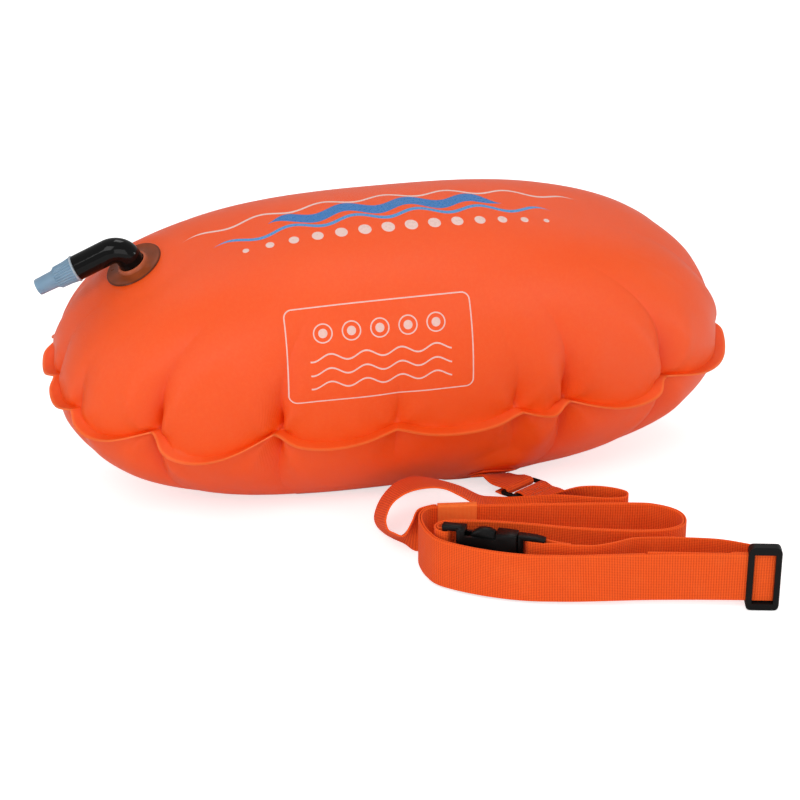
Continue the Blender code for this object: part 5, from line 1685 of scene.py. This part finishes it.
def adjuster_end_path():
    """The webbing's sewn end, folded round the adjuster slide's middle bar."""
    matrix = glide_frame()
    layer = (WEBBING_THICKNESS + LAYER_GAP) / 2
    half_bar = GLIDE_BAR_THICKNESS / 2
    bar_middle = layer + WEBBING_THICKNESS / 2 + GAP + half_bar
    radius = half_bar + GAP + WEBBING_THICKNESS / 2
    half_width = GLIDE_CENTRE_BAR_WIDTH / 2
    straight = BELT_ADJUSTER_END_LENGTH - GLIDE_FOLD_LENGTH
    starts = [straight * k / TAIL_STEPS for k in range(TAIL_STEPS + 1)]
    flat = [(start - BELT_ADJUSTER_END_LENGTH, layer) for start in starts]
    flat.append((-half_width, bar_middle - radius))
    for k in range(SLIDE_TURN_STEPS + 1):
        angle = -math.pi / 2 + math.pi * k / SLIDE_TURN_STEPS
        flat.append((half_width + radius * math.cos(angle), bar_middle + radius * math.sin(angle)))
    close = layer + WEBBING_THICKNESS + GAP
    flat += [(-half_width - GAP, bar_middle + radius), (-2 * half_width - radius, close + radius / 2)]
    flat += [(-half_width - 3 * radius, close), (-GLIDE_FOLD_LENGTH, close)]
    return [matrix @ Vector((x, y, 0)) for x, y in flat]


def buckle_end_path():
    """From beside the adjuster slide, round and back to the buckle's male half."""
    glide, buckle = glide_frame(), buckle_frame()
    layer = (WEBBING_THICKNESS + LAYER_GAP) / 2
    begin = GLIDE_HALF_LENGTH + GLIDE_STRAP_OVERHANG + GAP - BELT_TUCK
    lead = [glide @ Vector((begin + further, -layer, 0)) for further in (0, WEBBING_THICKNESS)]
    middle = [belt_point(*shares) for shares in single_route_shares]
    pull = glide.to_3x3() @ Vector((BEND_TUCK, -BEND_CLEARANCE, 0))
    for k, share in enumerate(BEND_TUCK_SHARES):
        middle[k] = middle[k] - pull * share
    bar = buckle @ Vector((MALE_BAR_PLACE, 0, 0))
    hold = MALE_BAR_PLACE + MALE_SPREAD_HOLD
    shares = (2.0, 1.0, 0.5, 0.0)
    approach = [buckle @ Vector((hold + LAYER_SPREAD_LENGTH * share, 0, 0)) for share in shares]
    route = catmull(lead + middle + approach[:1], BELT_STEPS)[:-1] + approach + [bar]
    incoming, returning = looped_route(route, MALE_BAR_RADIUS, MALE_SPREAD_HOLD)
    return incoming + returning[: len(approach) + 1]


def sew_tail(name, path, thread, body):
    """A sewn box on the outer side of the webbing's folded-back tail."""
    tail = path[::-1]
    axes = upright(tail)
    normal = (tail[1] - tail[0]).cross(axes[0])
    nearest = min(path[: len(path) // 2], key=lambda p: (p - tail[0]).length)
    face = -1 if normal.dot(nearest - tail[0]) > 0 else 1
    end = SEAM_INSET + SEWN_BOX_LENGTH
    sew(name, strip_seams(tail, axes, face, SEAM_INSET, end, cross=False), thread, body)


def make_belt(webbing, thread):
    path = long_piece_path()
    belt = strap("belt_long_piece", path, upright(path), webbing)
    settle(belt, "buoy", "orange_webbing", "belt_webbing")
    path = buckle_end_path()
    buckle_end = strap("belt_buckle_piece", path, upright(path), webbing)
    settle(buckle_end, "buoy", "orange_webbing", "belt_buckle_end")
    sew_tail("buckle_end_stitching", path, thread, "buoy")
    path = adjuster_end_path()
    sewn = strap("belt_adjuster_piece", path, upright(path), webbing)
    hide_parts("belt_adjuster_end")
    glide = glide_frame()
    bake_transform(sewn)
    sew_tail("adjuster_end_stitching", path, thread, "adjuster")


def make_slide(plastic):
    """The adjuster slide, with its corners rounded as moulded ones are."""
    slide = finer_copy("triglide", "adjuster_slide", plastic)
    matrix = glide_frame()
    half_x, half_z = GLIDE_HALF_LENGTH, GLIDE_HALF_HEIGHT
    corners = rounded_corners(half_x, half_z, SLIDE_CORNER, SLIDE_CORNER_STEPS)
    outline = [middle + way * SLIDE_CORNER for middle, way in corners]
    rings = [[matrix @ Vector((0, side * half_x, 0))] * len(outline) for side in (-1, 1)]
    rings[1:1] = [[matrix @ Vector((x, side * half_x, z)) for x, z in outline] for side in (-1, 1)]
    mould = shaped_grid("slide_outline", [ring + ring[:1] for ring in rings], plastic)
    outwards(mould)
    keep = {"operation": "INTERSECT", "object": mould, "solver": "EXACT"}
    finish_shape(slide, ("BOOLEAN", keep), rounded(SLIDE_EDGE, 3, 40), smooth_degrees=50)
    bpy.data.objects.remove(mould)
    return slide


def make_hardware(plastic):
    settle(make_slide(plastic), "adjuster", "black_plastic", "triglide")
    for node, name, body in (
        ("buckle_female", "buckle_socket_half", "buoy"),
        ("buckle_male", "buckle_plug_half", "buoy"),
        ("release_arm_upper", "upper_release_arm", "upper_arm"),
        ("release_arm_lower", "lower_release_arm", "lower_arm"),
    ):
        piece = finer_copy(node, name, plastic)
        settle(piece, body, "black_plastic", node)


# The photographer's side


def set_camera():
    """The photograph's camera: where it stood, and its right, up and backward directions."""
    data = bpy.data.cameras.new("photo_camera")
    data.lens, data.sensor_width = CAMERA_LENS, CAMERA_SENSOR
    data.clip_start, data.clip_end = CAMERA_CLIP
    camera = bpy.data.objects.new("photo_camera", data)
    bpy.context.scene.collection.objects.link(camera)
    right, up = Vector(CAMERA_RIGHT).normalized(), Vector(CAMERA_UP)
    back = right.cross(up).normalized()
    up = back.cross(right)
    matrix = Matrix((right, up, back)).transposed().to_4x4()
    matrix.translation = CAMERA_PLACE
    camera.matrix_world = matrix
    bpy.context.scene.camera = camera


def set_floor():
    bpy.ops.object.select_all(action="DESELECT")
    bpy.ops.mesh.primitive_plane_add(size=FLOOR_SIZE, location=(0, 0, -FLOOR_DROP))
    floor = bpy.context.object
    floor.name = "studio_floor"
    paper = Finish("pale studio paper", PAPER, 0.9)
    matt = Signal(paper, paper.shader.outputs[0])
    path = paper.add("ShaderNodeLightPath", output="Is Camera Ray")
    glow = paper.add("ShaderNodeEmission", None, {"Color": WHITE, "Strength": FLOOR_GLOW})
    both = paper.add("ShaderNodeAddShader", None, {0: matt, 1: glow})
    mixed = paper.add("ShaderNodeMixShader", None, {0: path, 1: matt, 2: both})
    paper.join(paper.tree.nodes["Material Output"].inputs["Surface"], mixed)
    floor.data.materials.append(paper.material)


def set_light():
    world = bpy.context.scene.world or bpy.data.worlds.new("studio")
    bpy.context.scene.world = world
    world.use_nodes = True
    nodes, links = world.node_tree.nodes, world.node_tree.links
    nodes.clear()
    soft, white = nodes.new("ShaderNodeBackground"), nodes.new("ShaderNodeBackground")
    soft.inputs["Strength"].default_value = ROOM_GLOW
    white.inputs["Strength"].default_value = 1.0
    for shade in (soft, white):
        shade.inputs["Color"].default_value = WHITE
    rays = nodes.new("ShaderNodeLightPath")
    seen = nodes.new("ShaderNodeMath")
    seen.operation = "MAXIMUM"
    links.new(rays.outputs["Is Camera Ray"], seen.inputs[0])
    links.new(rays.outputs["Is Transmission Ray"], seen.inputs[1])
    mixed, out = nodes.new("ShaderNodeMixShader"), nodes.new("ShaderNodeOutputWorld")
    links.new(seen.outputs[0], mixed.inputs[0])
    links.new(soft.outputs[0], mixed.inputs[1])
    links.new(white.outputs[0], mixed.inputs[2])
    links.new(mixed.outputs[0], out.inputs["Surface"])
    for name, place, size, power in studio_lamps:
        data = bpy.data.lights.new(name, "AREA")
        data.shape, data.size, data.energy = "SQUARE", size, power
        lamp = bpy.data.objects.new(name, data)
        lamp.location = place
        aim = Vector(LAMP_AIM) - Vector(place)
        lamp.rotation_euler = aim.to_track_quat("-Z", "Y").to_euler()
        bpy.context.scene.collection.objects.link(lamp)


def main():
    bpy.context.scene.view_settings.view_transform = "Standard"
    set_camera()
    webbing = woven_webbing("orange leash webbing")
    make_leash(webbing)
    set_floor()
    set_light()
    belt_cloth = woven_webbing("orange belt webbing")
    sleeve_cloth = woven_webbing(
        "fine sleeve webbing", SLEEVE_WEAVE_PITCH, SLEEVE_WEAVE_PITCH, SLEEVE_THREAD, ORANGE_THREAD
    )
    thread = sewing_thread("orange bonded thread", SEWING_THREAD)
    plastic = moulded_black("moulded black plastic")
    make_bladder()
    make_valve()
    make_anchor(webbing, plastic, thread)
    make_leash_ends(webbing, sleeve_cloth, thread)
    make_belt(belt_cloth, thread)
    make_hardware(plastic)
    bpy.ops.object.select_all(action="DESELECT")


main()
